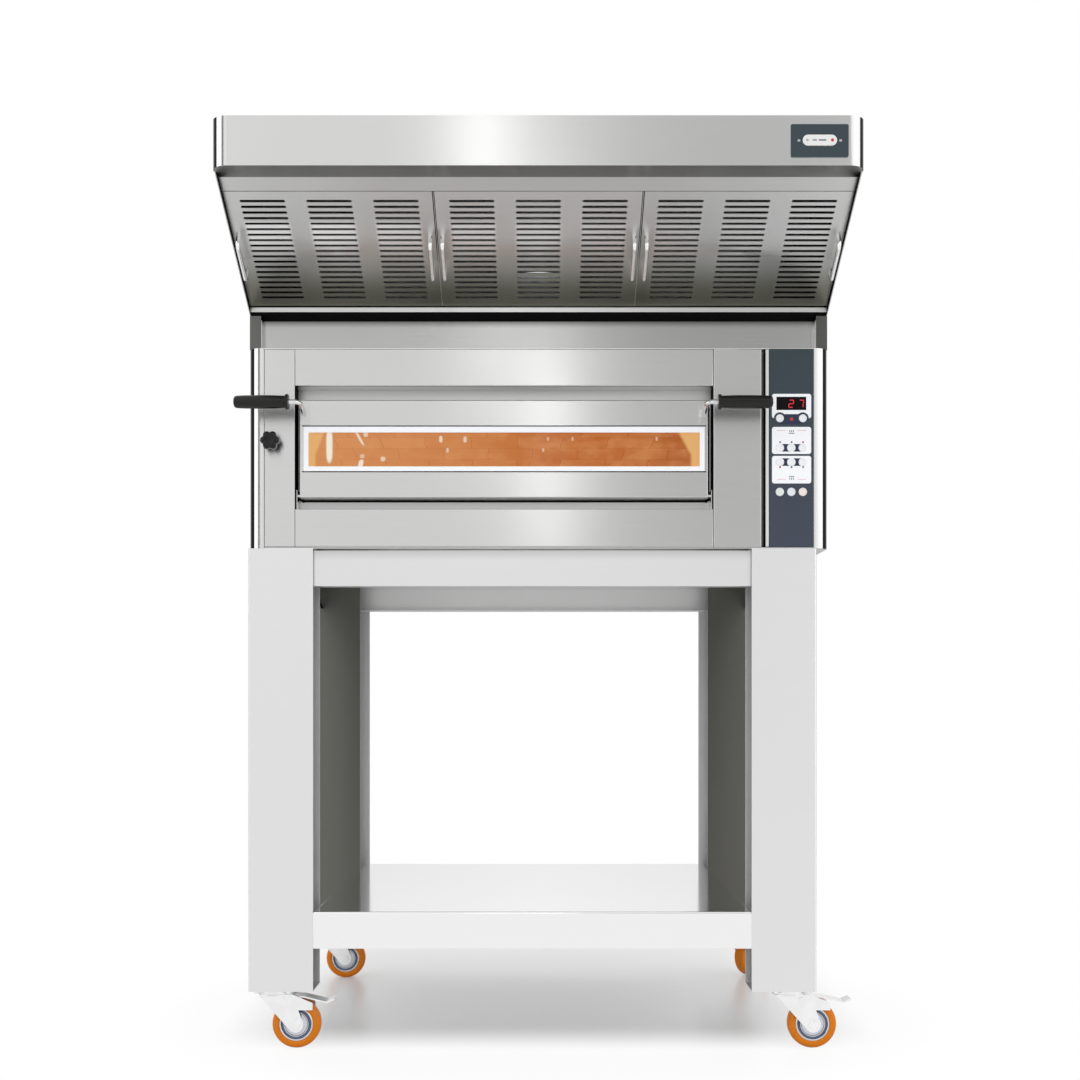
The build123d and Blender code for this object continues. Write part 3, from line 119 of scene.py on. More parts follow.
class Datum:
    """The oven's own frame, read from its base plate."""

    def __init__(self) -> None:
        """Find the oven's centre line and front plane."""
        low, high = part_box("oven_base")
        self.centre = (low.x + high.x) / 2
        self.front = high.y - OVEN_DEPTH_MM * MM

    def place(self, x: float, y: float, z: float) -> Vector:
        """Point of the oven's frame, in millimetres, as a point of the part's frame."""
        return Vector((self.centre + x * MM, self.front + y * MM, z * MM))


# Shader maths

class Value:
    """A number, colour or vector that a shader node gives, with operators for numbers."""

    def __init__(self, tree: "ShaderTree", socket: bpy.types.NodeSocket) -> None:
        """Wrap one output socket."""
        self.tree = tree
        self.socket = socket

    def maths(self, operation: str, *others: "Number") -> "Value":
        """Add one Math node.

        Args:
            operation: Blender's name of the operation.
            others: the numbers that follow this one.

        Returns:
            The result.
        """
        return self.tree.maths(operation, self, *others)

    def __add__(self, other: "Number") -> "Value":
        """This number plus another."""
        return self.maths("ADD", other)

    __radd__ = __add__

    def __sub__(self, other: "Number") -> "Value":
        """This number less another."""
        return self.maths("SUBTRACT", other)

    def __rsub__(self, other: "Number") -> "Value":
        """Another number less this one."""
        return self.tree.maths("SUBTRACT", other, self)

    def __mul__(self, other: "Number") -> "Value":
        """This number times another."""
        return self.maths("MULTIPLY", other)

    __rmul__ = __mul__

    def __truediv__(self, other: "Number") -> "Value":
        """This number divided by another."""
        return self.maths("DIVIDE", other)

    def __abs__(self) -> "Value":
        """This number without its sign."""
        return self.maths("ABSOLUTE")

    def at_least(self, other: "Number") -> "Value":
        """The larger of two numbers."""
        return self.maths("MAXIMUM", other)

    def at_most(self, other: "Number") -> "Value":
        """The smaller of two numbers."""
        return self.maths("MINIMUM", other)

    def step(self, start: float, end: float) -> "Value":
        """Smooth rise from 0 at start to 1 at end, which may lie below start.

        Args:
            start: where the rise begins.
            end: where it is complete.

        Returns:
            The risen number.
        """
        return self.tree.add(
            "ShaderNodeMapRange", {"interpolation_type": "SMOOTHSTEP"},
            {"Value": self, "From Min": start, "From Max": end})


Number = Union[Value, float]


class ShaderTree:
    """The node tree of one material or world."""

    def __init__(self, tree: bpy.types.NodeTree) -> None:
        """Empty the tree."""
        self.tree = tree
        tree.nodes.clear()

    def add(self, kind: str, settings: Optional[dict] = None, sockets: Optional[dict] = None,
            output: Union[int, str] = 0) -> Value:
        """Add a node.

        Args:
            kind: Blender's name of the node's type.
            settings: attributes of the node; "stops" sets a ramp's positions and colours.
            sockets: values or links of its inputs, by name or number.
            output: the output that is wanted, by name or number.

        Returns:
            That output.
        """
        node = self.tree.nodes.new(kind)
        for name, setting in (settings or {}).items():
            if name == "stops":
                self.fill_ramp(node.color_ramp, setting)
            else:
                setattr(node, name, setting)
        for name, given in (sockets or {}).items():
            if isinstance(given, Value):
                self.tree.links.new(given.socket, node.inputs[name])
            elif isinstance(given, tuple) and node.inputs[name].type == "RGBA":
                node.inputs[name].default_value = (*given[:3], 1.0)
            else:
                node.inputs[name].default_value = given
        return Value(self, node.outputs[output])

    @staticmethod
    def fill_ramp(ramp: bpy.types.ColorRamp, stops: Sequence[tuple]) -> None:
        """Give a ramp its stops.

        Args:
            ramp: a ramp with two stops.
            stops: position of each, and its grey level or colour.
        """
        for index, (position, level) in enumerate(stops):
            stop = ramp.elements[index] if index < 2 else ramp.elements.new(position)
            stop.position = position
            stop.color = (*level, 1.0) if isinstance(level, tuple) else (level, level, level, 1.0)

    def maths(self, operation: str, *numbers: Number) -> Value:
        """One Math node on the given numbers."""
        return self.add("ShaderNodeMath", {"operation": operation}, dict(enumerate(numbers)))

    def mix(self, factor: Number, first: Union[Value, Colour],
            second: Union[Value, Colour]) -> Value:
        """Colour between two colours."""
        return self.add(
            "ShaderNodeMix", {"data_type": "RGBA"}, {0: factor, 6: first, 7: second}, 2)

    def ramp(self, factor: Number, stops: Sequence[tuple]) -> Value:
        """Colour of a ramp at a factor."""
        return self.add("ShaderNodeValToRGB", {"stops": stops}, {"Fac": factor})

    def axes(self, vector: Value) -> tuple[Value, Value, Value]:
        """The three numbers of a vector."""
        split = self.add("ShaderNodeSeparateXYZ", {}, {0: vector}).socket.node
        return tuple(Value(self, output) for output in split.outputs)

    def vector(self, x: Number, y: Number, z: Number) -> Value:
        """Vector of three numbers."""
        return self.add("ShaderNodeCombineXYZ", {}, {0: x, 1: y, 2: z})

    def coordinates(self, output: str = "Object") -> Value:
        """Position on the object, in metres, or another output of the node."""
        return self.add("ShaderNodeTexCoord", {}, {}, output)

    def noise(self, where: Value, scale: float, detail: float = 2.0, rough: float = 0.5) -> Value:
        """Cloudy noise from 0 to 1.

        Args:
            where: the vector that it is read at.
            scale: how many clouds there are to a metre.
            detail: number of finer layers.
            rough: how strong the finer layers are.

        Returns:
            The noise.
        """
        return self.add(
            "ShaderNodeTexNoise", {},
            {"Vector": where, "Scale": scale, "Detail": detail, "Roughness": rough})

    def bump(self, height: Value, strength: float, distance: float) -> Value:
        """Normal that follows a height.

        Args:
            height: the height, from 0 to 1.
            strength: share of it that is used.
            distance: the height that 1 stands for, in metres.

        Returns:
            The normal.
        """
        return self.add(
            "ShaderNodeBump", {},
            {"Height": height, "Strength": strength, "Distance": distance})

    def surface(self, **sockets: Union[Value, float, Colour]) -> None:
        """End a material with one Principled shader, whose inputs are named with underscores."""
        names = {name.replace("_", " "): given for name, given in sockets.items()}
        shader = self.add("ShaderNodeBsdfPrincipled", {}, names)
        self.add_output(shader)

    def add_output(self, shader: Value, kind: str = "ShaderNodeOutputMaterial") -> None:
        """Link a shader to the tree's output."""
        node = self.tree.nodes.new(kind)
        self.tree.links.new(shader.socket, node.inputs["Surface"])


def new_material(name: str) -> tuple[bpy.types.Material, ShaderTree]:
    """A new material and its empty tree."""
    material = bpy.data.materials.new(name)
    material.use_nodes = True
    return material, ShaderTree(material.node_tree)


# Finishes

@dataclass(frozen=True)
class Shade:
    """Painted shade that tints a finish from one height, where it is unshaded, to another."""

    clean: float
    full: float
    tint: Colour
    share: float


@dataclass(frozen=True)
class BrushedSteel:
    """Stainless sheet with fine level brush lines, faint smudges, softly varied gloss and any
    painted shade that it is given.
    """

    name: str
    tint: Colour
    roughness: float = 0.30
    spread: float = 0.06
    grain: float = 0.8
    contrast: float = 0.02
    shade: Optional[Shade] = None
    lines_per_metre: float = 1400.0
    depth: float = 0.00001

    def overlay(self, tree: ShaderTree, x: Value, z: Value, base: Value) -> Value:
        """The base colour with its painted shade, if it has one.

        Args:
            tree: the material's tree.
            x: place across.
            z: height.
            base: colour of the bare steel.

        Returns:
            The colour that is seen.
        """
        if not self.shade:
            return base
        # Painted shade, complete at its full height.
        film = z.step(self.shade.clean, self.shade.full) * self.shade.share
        return tree.mix(film, base, self.shade.tint)

    def glow(self, tree: ShaderTree, x: Value, z: Value) -> Union[Value, Colour]:
        """Colour of the light that the steel adds, black unless a finish says otherwise."""
        return 0.0, 0.0, 0.0

    def make(self) -> bpy.types.Material:
        """Build the material."""
        material, tree = new_material(self.name)
        x, y, z = tree.axes(tree.coordinates())
        lies_flat = abs(tree.axes(tree.coordinates("Normal"))[2]).step(0.6, 0.8)
        drawn = tree.vector(x * 9.0, y * 9.0 + lies_flat * (y * self.lines_per_metre),
                            (1.0 - lies_flat) * (z * self.lines_per_metre))
        lines = tree.noise(drawn, 1.0, 3.0, 0.65)
        smudge = tree.noise(tree.vector(x, y, z), 6.0, 4.0, 0.6)
        dark = tuple(level * (1 - self.contrast) for level in self.tint)
        light = tuple(min(1.0, level * (1 + self.contrast)) for level in self.tint)
        base = self.overlay(tree, x, z, tree.mix(lines.step(0.25, 0.75), dark, light))
        tree.surface(
            Base_Color=base, Metallic=1.0,
            Roughness=(lines - 0.5) * self.spread + (smudge - 0.5) * 0.04 + self.roughness,
            Anisotropic=self.grain, Anisotropic_Rotation=0.25,
            Normal=tree.bump(lines, 0.3, self.depth),
            Emission_Color=self.glow(tree, x, z), Emission_Strength=1.0)
        return material


@dataclass(frozen=True)
class CornerSteel(BrushedSteel):
    """Sheet steel with a painted dark reflection on its rounded upright corners."""

    dark_from: float = 0.59
    dark_to: float = 0.97
    rise: float = 0.03
    edge_on: float = 0.999
    dark: Colour = (0.02, 0.02, 0.02)

    def overlay(self, tree: ShaderTree, x: Value, z: Value, base: Value) -> Value:
        """The base colour with a painted dark reflection on the rounded corners."""
        turned_away = abs(tree.axes(tree.coordinates("Normal"))[0])
        corner = turned_away.step(self.dark_from, self.dark_from + self.rise)
        corner = corner * turned_away.step(self.edge_on, self.dark_to)
        return tree.mix(corner, super().overlay(tree, x, z, base), self.dark)


@dataclass(frozen=True)
class FilterSteel(BrushedSteel):
    """Steel of the grease filters, with painted highlights on the slot lips and dark joints between
    the panels.
    """

    seams: tuple[float, ...] = ()
    columns: tuple[float, ...] = ()
    column_half: float = 0.0418
    seam_half: float = 0.0022
    seam_fade: tuple[float, float] = (1.555, 1.605)
    seam_dark: Colour = (0.03, 0.03, 0.03)
    lips: tuple[float, float] = (1.575, 1.612)
    rows_top: float = 1.628
    rows_fade: float = 0.003
    lit_side: tuple[float, float] = (0.5, -0.6)
    lit_least: float = 0.25
    lip_painted_highlight: float = 0.20

    def band(self, x: Value, places: Sequence[float], half: float) -> Value:
        """1 within half a width of any of the places.

        Args:
            x: place across.
            places: middles of the bands.
            half: half their width.

        Returns:
            The mask.
        """
        near = abs(x - places[0])
        for place in places[1:]:
            near = near.at_most(abs(x - place))
        return near.step(half * 1.15, half * 0.85)

    def overlay(self, tree: ShaderTree, x: Value, z: Value, base: Value) -> Value:
        """The base colour with its painted shade and its dark joints."""
        # Painted shade first, then the dark joints.
        painted_shading = super().overlay(tree, x, z, base)
        joint = self.band(x, self.seams, self.seam_half) * z.step(*self.seam_fade)
        return tree.mix(joint, painted_shading, self.seam_dark)

    def glow(self, tree: ShaderTree, x: Value, z: Value) -> Value:
        """Painted highlight on the slot lips, strongest on the left of the upper rows."""
        upper = z.step(*self.lips) * z.step(self.rows_top, self.rows_top - self.rows_fade)
        side = x.step(*self.lit_side) + self.lit_least
        level = self.band(x, self.columns, self.column_half) * upper * side
        return tree.mix(level * self.lip_painted_highlight, (0.0, 0.0, 0.0), (1.0, 1.0, 1.0))


@dataclass(frozen=True)
class PlainMetal:
    """Plated, polished or dull metal with fine scratches."""

    name: str
    tint: Colour
    roughness: float
    scratch: float = 0.10
    grain: float = 260.0
    relief: float = 0.00003
    mottle: float = 0.14

    def make(self) -> bpy.types.Material:
        """Build the material."""
        material, tree = new_material(self.name)
        where = tree.coordinates()
        cloud = tree.noise(where, self.grain / 6, 4.0, 0.6)
        fine = tree.noise(where, self.grain, 5.0, 0.7)
        dark = tuple(level * (1 - self.mottle) for level in self.tint)
        tree.surface(
            Base_Color=tree.mix(cloud.step(0.35, 0.65), dark, self.tint), Metallic=1.0,
            Roughness=(fine - 0.5) * self.scratch + self.roughness,
            Normal=tree.bump(fine, 0.15, self.relief))
        return material


@dataclass(frozen=True)
class Galvanised:
    """Zinc coat with the flakes that it freezes in."""

    name: str
    tint: Colour
    flake: float = 90.0

    def make(self) -> bpy.types.Material:
        """Build the material."""
        material, tree = new_material(self.name)
        cells = tree.add("ShaderNodeTexVoronoi", {},
                         {"Vector": tree.coordinates(), "Scale": self.flake}, "Color")
        level = tree.axes(cells)[0]
        dark = tuple(part * 0.78 for part in self.tint)
        tree.surface(
            Base_Color=tree.mix(level, dark, self.tint), Metallic=1.0,
            Roughness=level * 0.18 + 0.30)
        return material


@dataclass(frozen=True)
class TurnedMetal:
    """Machined metal whose fine rings follow the piece's own radius attribute."""

    name: str
    tint: Colour
    roughness: float = 0.24

    def make(self) -> bpy.types.Material:
        """Build the material."""
        material, tree = new_material(self.name)
        radius = tree.add("ShaderNodeAttribute", {"attribute_name": "radius"}, {}, "Fac")
        rings = tree.noise(tree.vector(radius * 2600.0, 0.0, 0.0), 1.0, 2.0, 0.6)
        dark = tuple(level * 0.80 for level in self.tint)
        tree.surface(
            Base_Color=tree.mix(rings, dark, self.tint), Metallic=1.0,
            Roughness=(rings - 0.5) * 0.2 + self.roughness, Normal=tree.bump(rings, 0.2, 0.00005))
        return material


@dataclass(frozen=True)
class Moulded:
    """Plastic, rubber or lacquer with a fine skin, slight wear in its colour and, where lift is
    set, a painted glow.
    """

    name: str
    tint: Colour
    worn: Colour
    roughness: float
    coat: float = 0.0
    skin: float = 900.0
    relief: float = 0.00004
    specular: float = 0.5
    lift: float = 0.0

    def make(self) -> bpy.types.Material:
        """Build the material."""
        material, tree = new_material(self.name)
        where = tree.coordinates()
        fine = tree.noise(where, self.skin, 3.0, 0.6)
        patch = tree.noise(where, 22.0, 5.0, 0.65)
        tree.surface(
            Base_Color=tree.mix(patch.step(0.5, 0.85), self.tint, self.worn),
            Roughness=(patch - 0.5) * 0.16 + self.roughness, Coat_Weight=self.coat,
            Coat_Roughness=0.08, Specular_IOR_Level=self.specular,
            Normal=tree.bump(fine, 0.3, self.relief),
            # Painted glow: lift makes the piece glow in its own colour.
            Emission_Color=self.tint, Emission_Strength=self.lift)
        return material


@dataclass(frozen=True)
class Glowing:
    """Small lit mark."""

    name: str
    tint: Colour
    strength: float

    def make(self) -> bpy.types.Material:
        """Build the material."""
        material, tree = new_material(self.name)
        fine = tree.noise(tree.coordinates(), 600.0)
        dim = tuple(level * 0.8 for level in self.tint)
        tree.surface(
            Base_Color=self.tint, Roughness=0.4,
            Emission_Color=tree.mix(fine, dim, self.tint), Emission_Strength=self.strength)
        return material


@dataclass(frozen=True)
class FiredClay:
    """Deck stone: pale clay with grit, pores and scorched patches."""

    name: str = "fired_clay"

    def make(self) -> bpy.types.Material:
        """Build the material."""
        material, tree = new_material(self.name)
        where = tree.coordinates()
        grit = tree.noise(where, 700.0, 3.0, 0.7)
        patch = tree.noise(where, 9.0, 5.0, 0.6)
        pores = tree.add("ShaderNodeTexVoronoi", {}, {"Vector": where, "Scale": 260.0})
        base = tree.mix(patch.step(0.35, 0.7), colour(214, 186, 150), colour(176, 140, 100))
        tree.surface(
            Base_Color=tree.mix(pores.step(0.16, 0.05) * 0.6, base, colour(96, 70, 48)),
            Roughness=0.92, Normal=tree.bump(grit, 0.5, 0.0004))
        return material


@dataclass(frozen=True)
class HeatTintedSteel:
    """Chamber steel: bright at its front frame, and straw and brown where the heat reaches it."""

    front: float
    name: str = "heat_tinted_steel"
    bright: Colour = (0.60, 0.60, 0.595)

    def make(self) -> bpy.types.Material:
        """Build the material."""
        material, tree = new_material(self.name)
        where = tree.coordinates()
        patch = tree.noise(where, 6.0, 5.0, 0.6)
        fine = tree.noise(where, 300.0, 3.0, 0.6)
        tinted = tree.ramp(patch, [
            (0.30, colour(196, 176, 146)), (0.52, colour(178, 138, 92)),
            (0.72, colour(128, 96, 78))])
        depth = tree.axes(where)[1] - self.front
        tree.surface(
            Base_Color=tree.mix(depth.step(0.003, 0.03), self.bright, tinted),
            Metallic=1.0, Roughness=fine * 0.16 + 0.26, Normal=tree.bump(fine, 0.2, 0.00005))
        return material


@dataclass(frozen=True)
class MineralWool:
    """Matted yellow-grey fibres."""

    name: str = "mineral_wool"

    def make(self) -> bpy.types.Material:
        """Build the material."""
        material, tree = new_material(self.name)
        where = tree.coordinates()
        fibre = tree.noise(where, 160.0, 8.0, 0.75)
        tree.surface(
            Base_Color=tree.mix(fibre, colour(150, 136, 92), colour(214, 202, 158)),
            Roughness=0.97, Normal=tree.bump(fibre, 0.8, 0.002))
        return material


@dataclass(frozen=True)
class CircuitBoard:
    """Green lacquer over copper tracks."""

    name: str = "circuit_board"

    def make(self) -> bpy.types.Material:
        """Build the material."""
        material, tree = new_material(self.name)
        x, _, z = tree.axes(tree.coordinates())
        tracks = tree.add(
            "ShaderNodeTexBrick", {},
            {"Vector": tree.vector(x, z, 0.0), "Scale": 160.0, "Mortar Size": 0.05,
             "Color1": (0.0, 0.0, 0.0), "Color2": (0.0, 0.0, 0.0), "Mortar": (1.0, 1.0, 1.0)})
        tree.surface(
            Base_Color=tree.mix(tracks, colour(16, 74, 44), colour(52, 122, 72)),
            Roughness=0.35)
        return material


@dataclass(frozen=True)
class Glint:
    """Painted highlight in the window: its middle and half size, as shares of the pane."""

    across: float
    up: float
    half_across: float
    half_up: float
    strength: float = 1.0
    lean: float = 0.0


@dataclass(frozen=True)
class OvenGlass:
    """Window pane that glows with a painted view of the lit clay chamber behind it: courses, side
    walls and painted lamp glints.
    """

    name: str
    left: float
    right: float
    bottom: float
    top: float
    glints: tuple[Glint, ...] = (
        Glint(0.053, 0.60, 0.0085, 0.50), Glint(0.133, 0.07, 0.0065, 0.14, 0.9, 0.02),
        Glint(0.128, 0.86, 0.004, 0.26, 0.7, -0.05), Glint(0.146, 0.94, 0.006, 0.09, 0.6),
        Glint(0.137, 0.30, 0.006, 0.06, 0.45), Glint(0.190, 0.22, 0.0065, 0.07, 0.6),
        Glint(0.338, 0.79, 0.0045, 0.10, 0.7), Glint(0.355, 0.47, 0.0035, 0.07, 0.5),
        Glint(0.400, 0.78, 0.0045, 0.09, 0.6), Glint(0.612, 0.80, 0.003, 0.06, 0.4),
        Glint(0.600, 0.48, 0.003, 0.06, 0.4), Glint(0.675, 0.80, 0.003, 0.06, 0.4),
        Glint(0.890, 0.80, 0.003, 0.06, 0.4))

    def glow(self, tree: ShaderTree, across: Value, up: Value, glint: Glint) -> Value:
        """1 in the middle of a glint, 0 outside it."""
        x = (across - glint.across - (up - glint.up) * glint.lean) / glint.half_across
        z = (up - glint.up) / glint.half_up
        return (x * x + z * z * z * z).step(1.5, 0.25) * glint.strength

    def make(self) -> bpy.types.Material:
        """Build the material."""
        material, tree = new_material(self.name)
        x, _, z = tree.axes(tree.coordinates())
        across = (x - self.left) / (self.right - self.left)
        up = (z - self.bottom) / (self.top - self.bottom)
        leaning = across + (up - 0.5) * (0.5 - across) * 0.07
        cloud = tree.noise(tree.vector(across * 9.0, up * 1.6, 0.0), 1.6, 4.0, 0.55)
        wander = (cloud - 0.5) * 0.03
        courses = tree.add(
            "ShaderNodeTexBrick", {"offset": 0.37, "offset_frequency": 2},
            {"Vector": tree.vector(leaning + wander, up * 0.25 + 0.03 + wander * 0.4, 0.0),
             "Scale": 10.0, "Brick Width": 1.15, "Row Height": 0.80, "Mortar Size": 0.020,
             "Mortar Smooth": 0.9, "Color1": (0.35, 0.35, 0.35), "Color2": (0.65, 0.65, 0.65),
             "Mortar": (0.0, 0.0, 0.0)})
        # Painted light: lighter at the left of the pane, darker at the right.
        clay = tree.ramp(across, [
            (0.0, colour(222, 148, 92)), (0.18, colour(218, 142, 86)),
            (0.45, colour(208, 128, 70)), (0.60, colour(196, 108, 46)),
            (0.85, colour(190, 102, 44)), (1.0, colour(176, 92, 42))])
        shade = tree.mix(cloud.step(0.35, 0.75) * 0.45, clay, colour(228, 158, 100))
        tone = tree.axes(courses)[0]
        lined = tree.mix(tone.step(0.30, 0.0) * 0.24, shade, colour(142, 72, 30))
        stone = tree.mix(tone.step(0.35, 0.65) * 0.16, lined, colour(240, 176, 120))
        wall = (across - (up - 0.35).at_least(0.0) * 0.035).step(0.022, 0.012)
        far_wall = (across + (up - 0.35).at_least(0.0) * 0.050).step(0.972, 0.984)
        walled = tree.mix(wall.at_least(far_wall), stone, colour(240, 184, 118))
        # Painted highlights: the lamp glints.
        level = self.glow(tree, across, up, self.glints[0])
        for glint in self.glints[1:]:
            level = level.at_least(self.glow(tree, across, up, glint))
        seen = tree.mix(level, walled, colour(255, 246, 226))
        dim = tree.add("ShaderNodeVectorMath", {"operation": "SCALE"}, {0: seen, "Scale": 0.55})
        # Painted light: the pane glows with its picture through its emission.
        tree.surface(
            Base_Color=dim, Roughness=0.08, Specular_IOR_Level=0.12,
            Emission_Color=seen, Emission_Strength=0.42)
        return material


@dataclass(frozen=True)
class ClearGlass:
    """Clear pane that shows what lies behind it."""

    name: str
    alpha: float = 0.16

    def make(self) -> bpy.types.Material:
        """Build the material."""
        material, tree = new_material(self.name)
        haze = tree.noise(tree.coordinates(), 14.0, 4.0, 0.6)
        tree.surface(
            Base_Color=colour(226, 236, 232), Roughness=haze * 0.05 + 0.02,
            Alpha=haze * 0.06 + self.alpha, IOR=1.5)
        return material


@dataclass(frozen=True)
class PrintedLabel:
    """Where one white field of the control film lies, in metres of the part's frame."""

    centre: tuple[float, float]
    half: tuple[float, float]
    corner: float


@dataclass(frozen=True)
class ControlFilm:
    """Slate film with white fields and a faint painted glow; dark gaps are left round and between
    the keys.
    """

    name: str
    bottom: float
    top: float
    fields: tuple[PrintedLabel, ...]
    rings: tuple[tuple[float, float, float], ...]
    bands: tuple[PrintedLabel, ...]
    knockouts: tuple[tuple[float, float, float], ...]
    upper: Colour = colour(45, 59, 65)
    lower: Colour = colour(58, 65, 80)
    white: Colour = colour(244, 246, 250)
    ink: Colour = colour(40, 48, 70)
    edge: float = 0.00035

    def field_mask(self, tree: ShaderTree, x: Value, z: Value, label: PrintedLabel) -> Value:
        """1 inside a rounded field, 0 outside it.

        Args:
            tree: the material's tree.
            x: place across.
            z: height.
            label: the field.

        Returns:
            The mask.
        """
        over_x = abs(x - label.centre[0]) - (label.half[0] - label.corner)
        over_z = abs(z - label.centre[1]) - (label.half[1] - label.corner)
        outside = tree.maths(
            "SQRT", over_x.at_least(0.0) * over_x.at_least(0.0)
            + over_z.at_least(0.0) * over_z.at_least(0.0))
        reach = outside + over_x.at_least(over_z).at_most(0.0) - label.corner
        return reach.step(self.edge, -self.edge)

    def disc_mask(self, tree: ShaderTree, x: Value, z: Value,
                  disc: tuple[float, float, float]) -> Value:
        """1 inside a disc of a centre and a radius, 0 outside it.

        Args:
            tree: the material's tree.
            x: place across.
            z: height.
            disc: X and Z of its centre, and its radius.

        Returns:
            The mask.
        """
        away_x, away_z = x - disc[0], z - disc[1]
        reach = tree.maths("SQRT", away_x * away_x + away_z * away_z) - disc[2]
        return reach.step(self.edge, -self.edge)

    def union(self, masks: Iterable[Value]) -> Value:
        """1 where any of the masks is 1.

        Args:
            masks: at least one mask.

        Returns:
            Their union.
        """
        masks = list(masks)
        total = masks[0]
        for mask in masks[1:]:
            total = total.at_least(mask)
        return total

    def make(self) -> bpy.types.Material:
        """Build the material."""
        material, tree = new_material(self.name)
        x, _, z = tree.axes(tree.coordinates())
        slate = tree.mix((z - self.bottom) / (self.top - self.bottom), self.lower, self.upper)
        sheen = tree.noise(tree.coordinates(), 500.0, 2.0)
        base = tree.mix(sheen * 0.10, slate, colour(90, 100, 110))
        if self.fields:
            white = self.union(self.field_mask(tree, x, z, label) for label in self.fields)
            for hole in self.knockouts:
                white = white * (1.0 - self.disc_mask(tree, x, z, hole))
            base = tree.mix(white, base, self.white)
        if self.bands:
            dark = self.union(self.field_mask(tree, x, z, band) for band in self.bands)
            for ring in self.rings:
                dark = dark * (1.0 - self.disc_mask(tree, x, z, ring))
            base = tree.mix(dark, base, self.ink)
        tree.surface(
            Base_Color=base, Roughness=sheen * 0.1 + 0.28, Specular_IOR_Level=0.3,
            Coat_Weight=0.12, Coat_Roughness=0.15, Normal=tree.bump(sheen, 0.1, 0.00003),
            # Painted glow: the film glows faintly in its own colours.
            Emission_Color=base, Emission_Strength=0.16)
        return material


@dataclass(frozen=True)
class StudioFloor:
    """White floor with the grey shade that lies under the object and between its legs."""

    name: str = "studio_floor"
    level: float = 0.62
    lift: float = 0.12
    shadow: float = 0.10
    sides: tuple[float, float] = (0.78, 0.46)
    front: tuple[float, float] = (-0.32, -0.02)
    rear: tuple[float, float] = (1.7, 1.1)
    middle_y: float = 0.17
    half_width_squared: float = 0.72
    half_depth: float = 0.80
    fade: tuple[float, float] = (1.15, 0.80)

    def shade(self, tree: ShaderTree) -> Value:
        """1 between the legs, a mild shadow round them and 0 far away.

        Args:
            tree: the material's tree.

        Returns:
            The mask.
        """
        x, y, _ = tree.axes(tree.coordinates())
        under = abs(x).step(*self.sides) * y.step(*self.front) * y.step(*self.rear)
        along = (y - self.middle_y) / self.half_depth
        away = tree.maths("SQRT", x * x / self.half_width_squared + along * along)
        return under.at_least(away.step(*self.fade) * self.shadow)

    def make(self) -> bpy.types.Material:
        """Build the material."""
        material, tree = new_material(self.name)
        y = tree.axes(tree.coordinates())[1]
        white = (1.0, 1.0, 1.0)
        matt = tree.add("ShaderNodeBsdfPrincipled", {},
                        {"Base Color": (self.level,) * 3, "Roughness": 0.30})
        glow = tree.add("ShaderNodeEmission", {}, {"Color": white, "Strength": self.lift})
        near = tree.add("ShaderNodeAddShader", {}, {0: matt, 1: glow})
        camera = tree.add("ShaderNodeLightPath", {}, {}, "Is Camera Ray")
        mirrored = tree.add("ShaderNodeLightPath", {}, {}, "Is Glossy Ray")
        strength = 1.0 - mirrored * (y.step(0.5, 1.4) * 0.4 + 0.06)
        blank = tree.add("ShaderNodeEmission", {}, {"Color": white, "Strength": strength})
        seen = tree.add("ShaderNodeMixShader", {}, {0: self.shade(tree), 1: blank, 2: near})
        tree.add_output(tree.add(
            "ShaderNodeMixShader", {}, {0: camera.at_least(mirrored), 1: matt, 2: seen}))
        return material


def shade_between(heights: tuple[float, float], tint: Colour, share: float = 0.9) -> Shade:
    """Painted shade from its unshaded height to its full one, both in millimetres."""
    clean, full = heights
    return Shade(clean * MM, full * MM, tint, share)


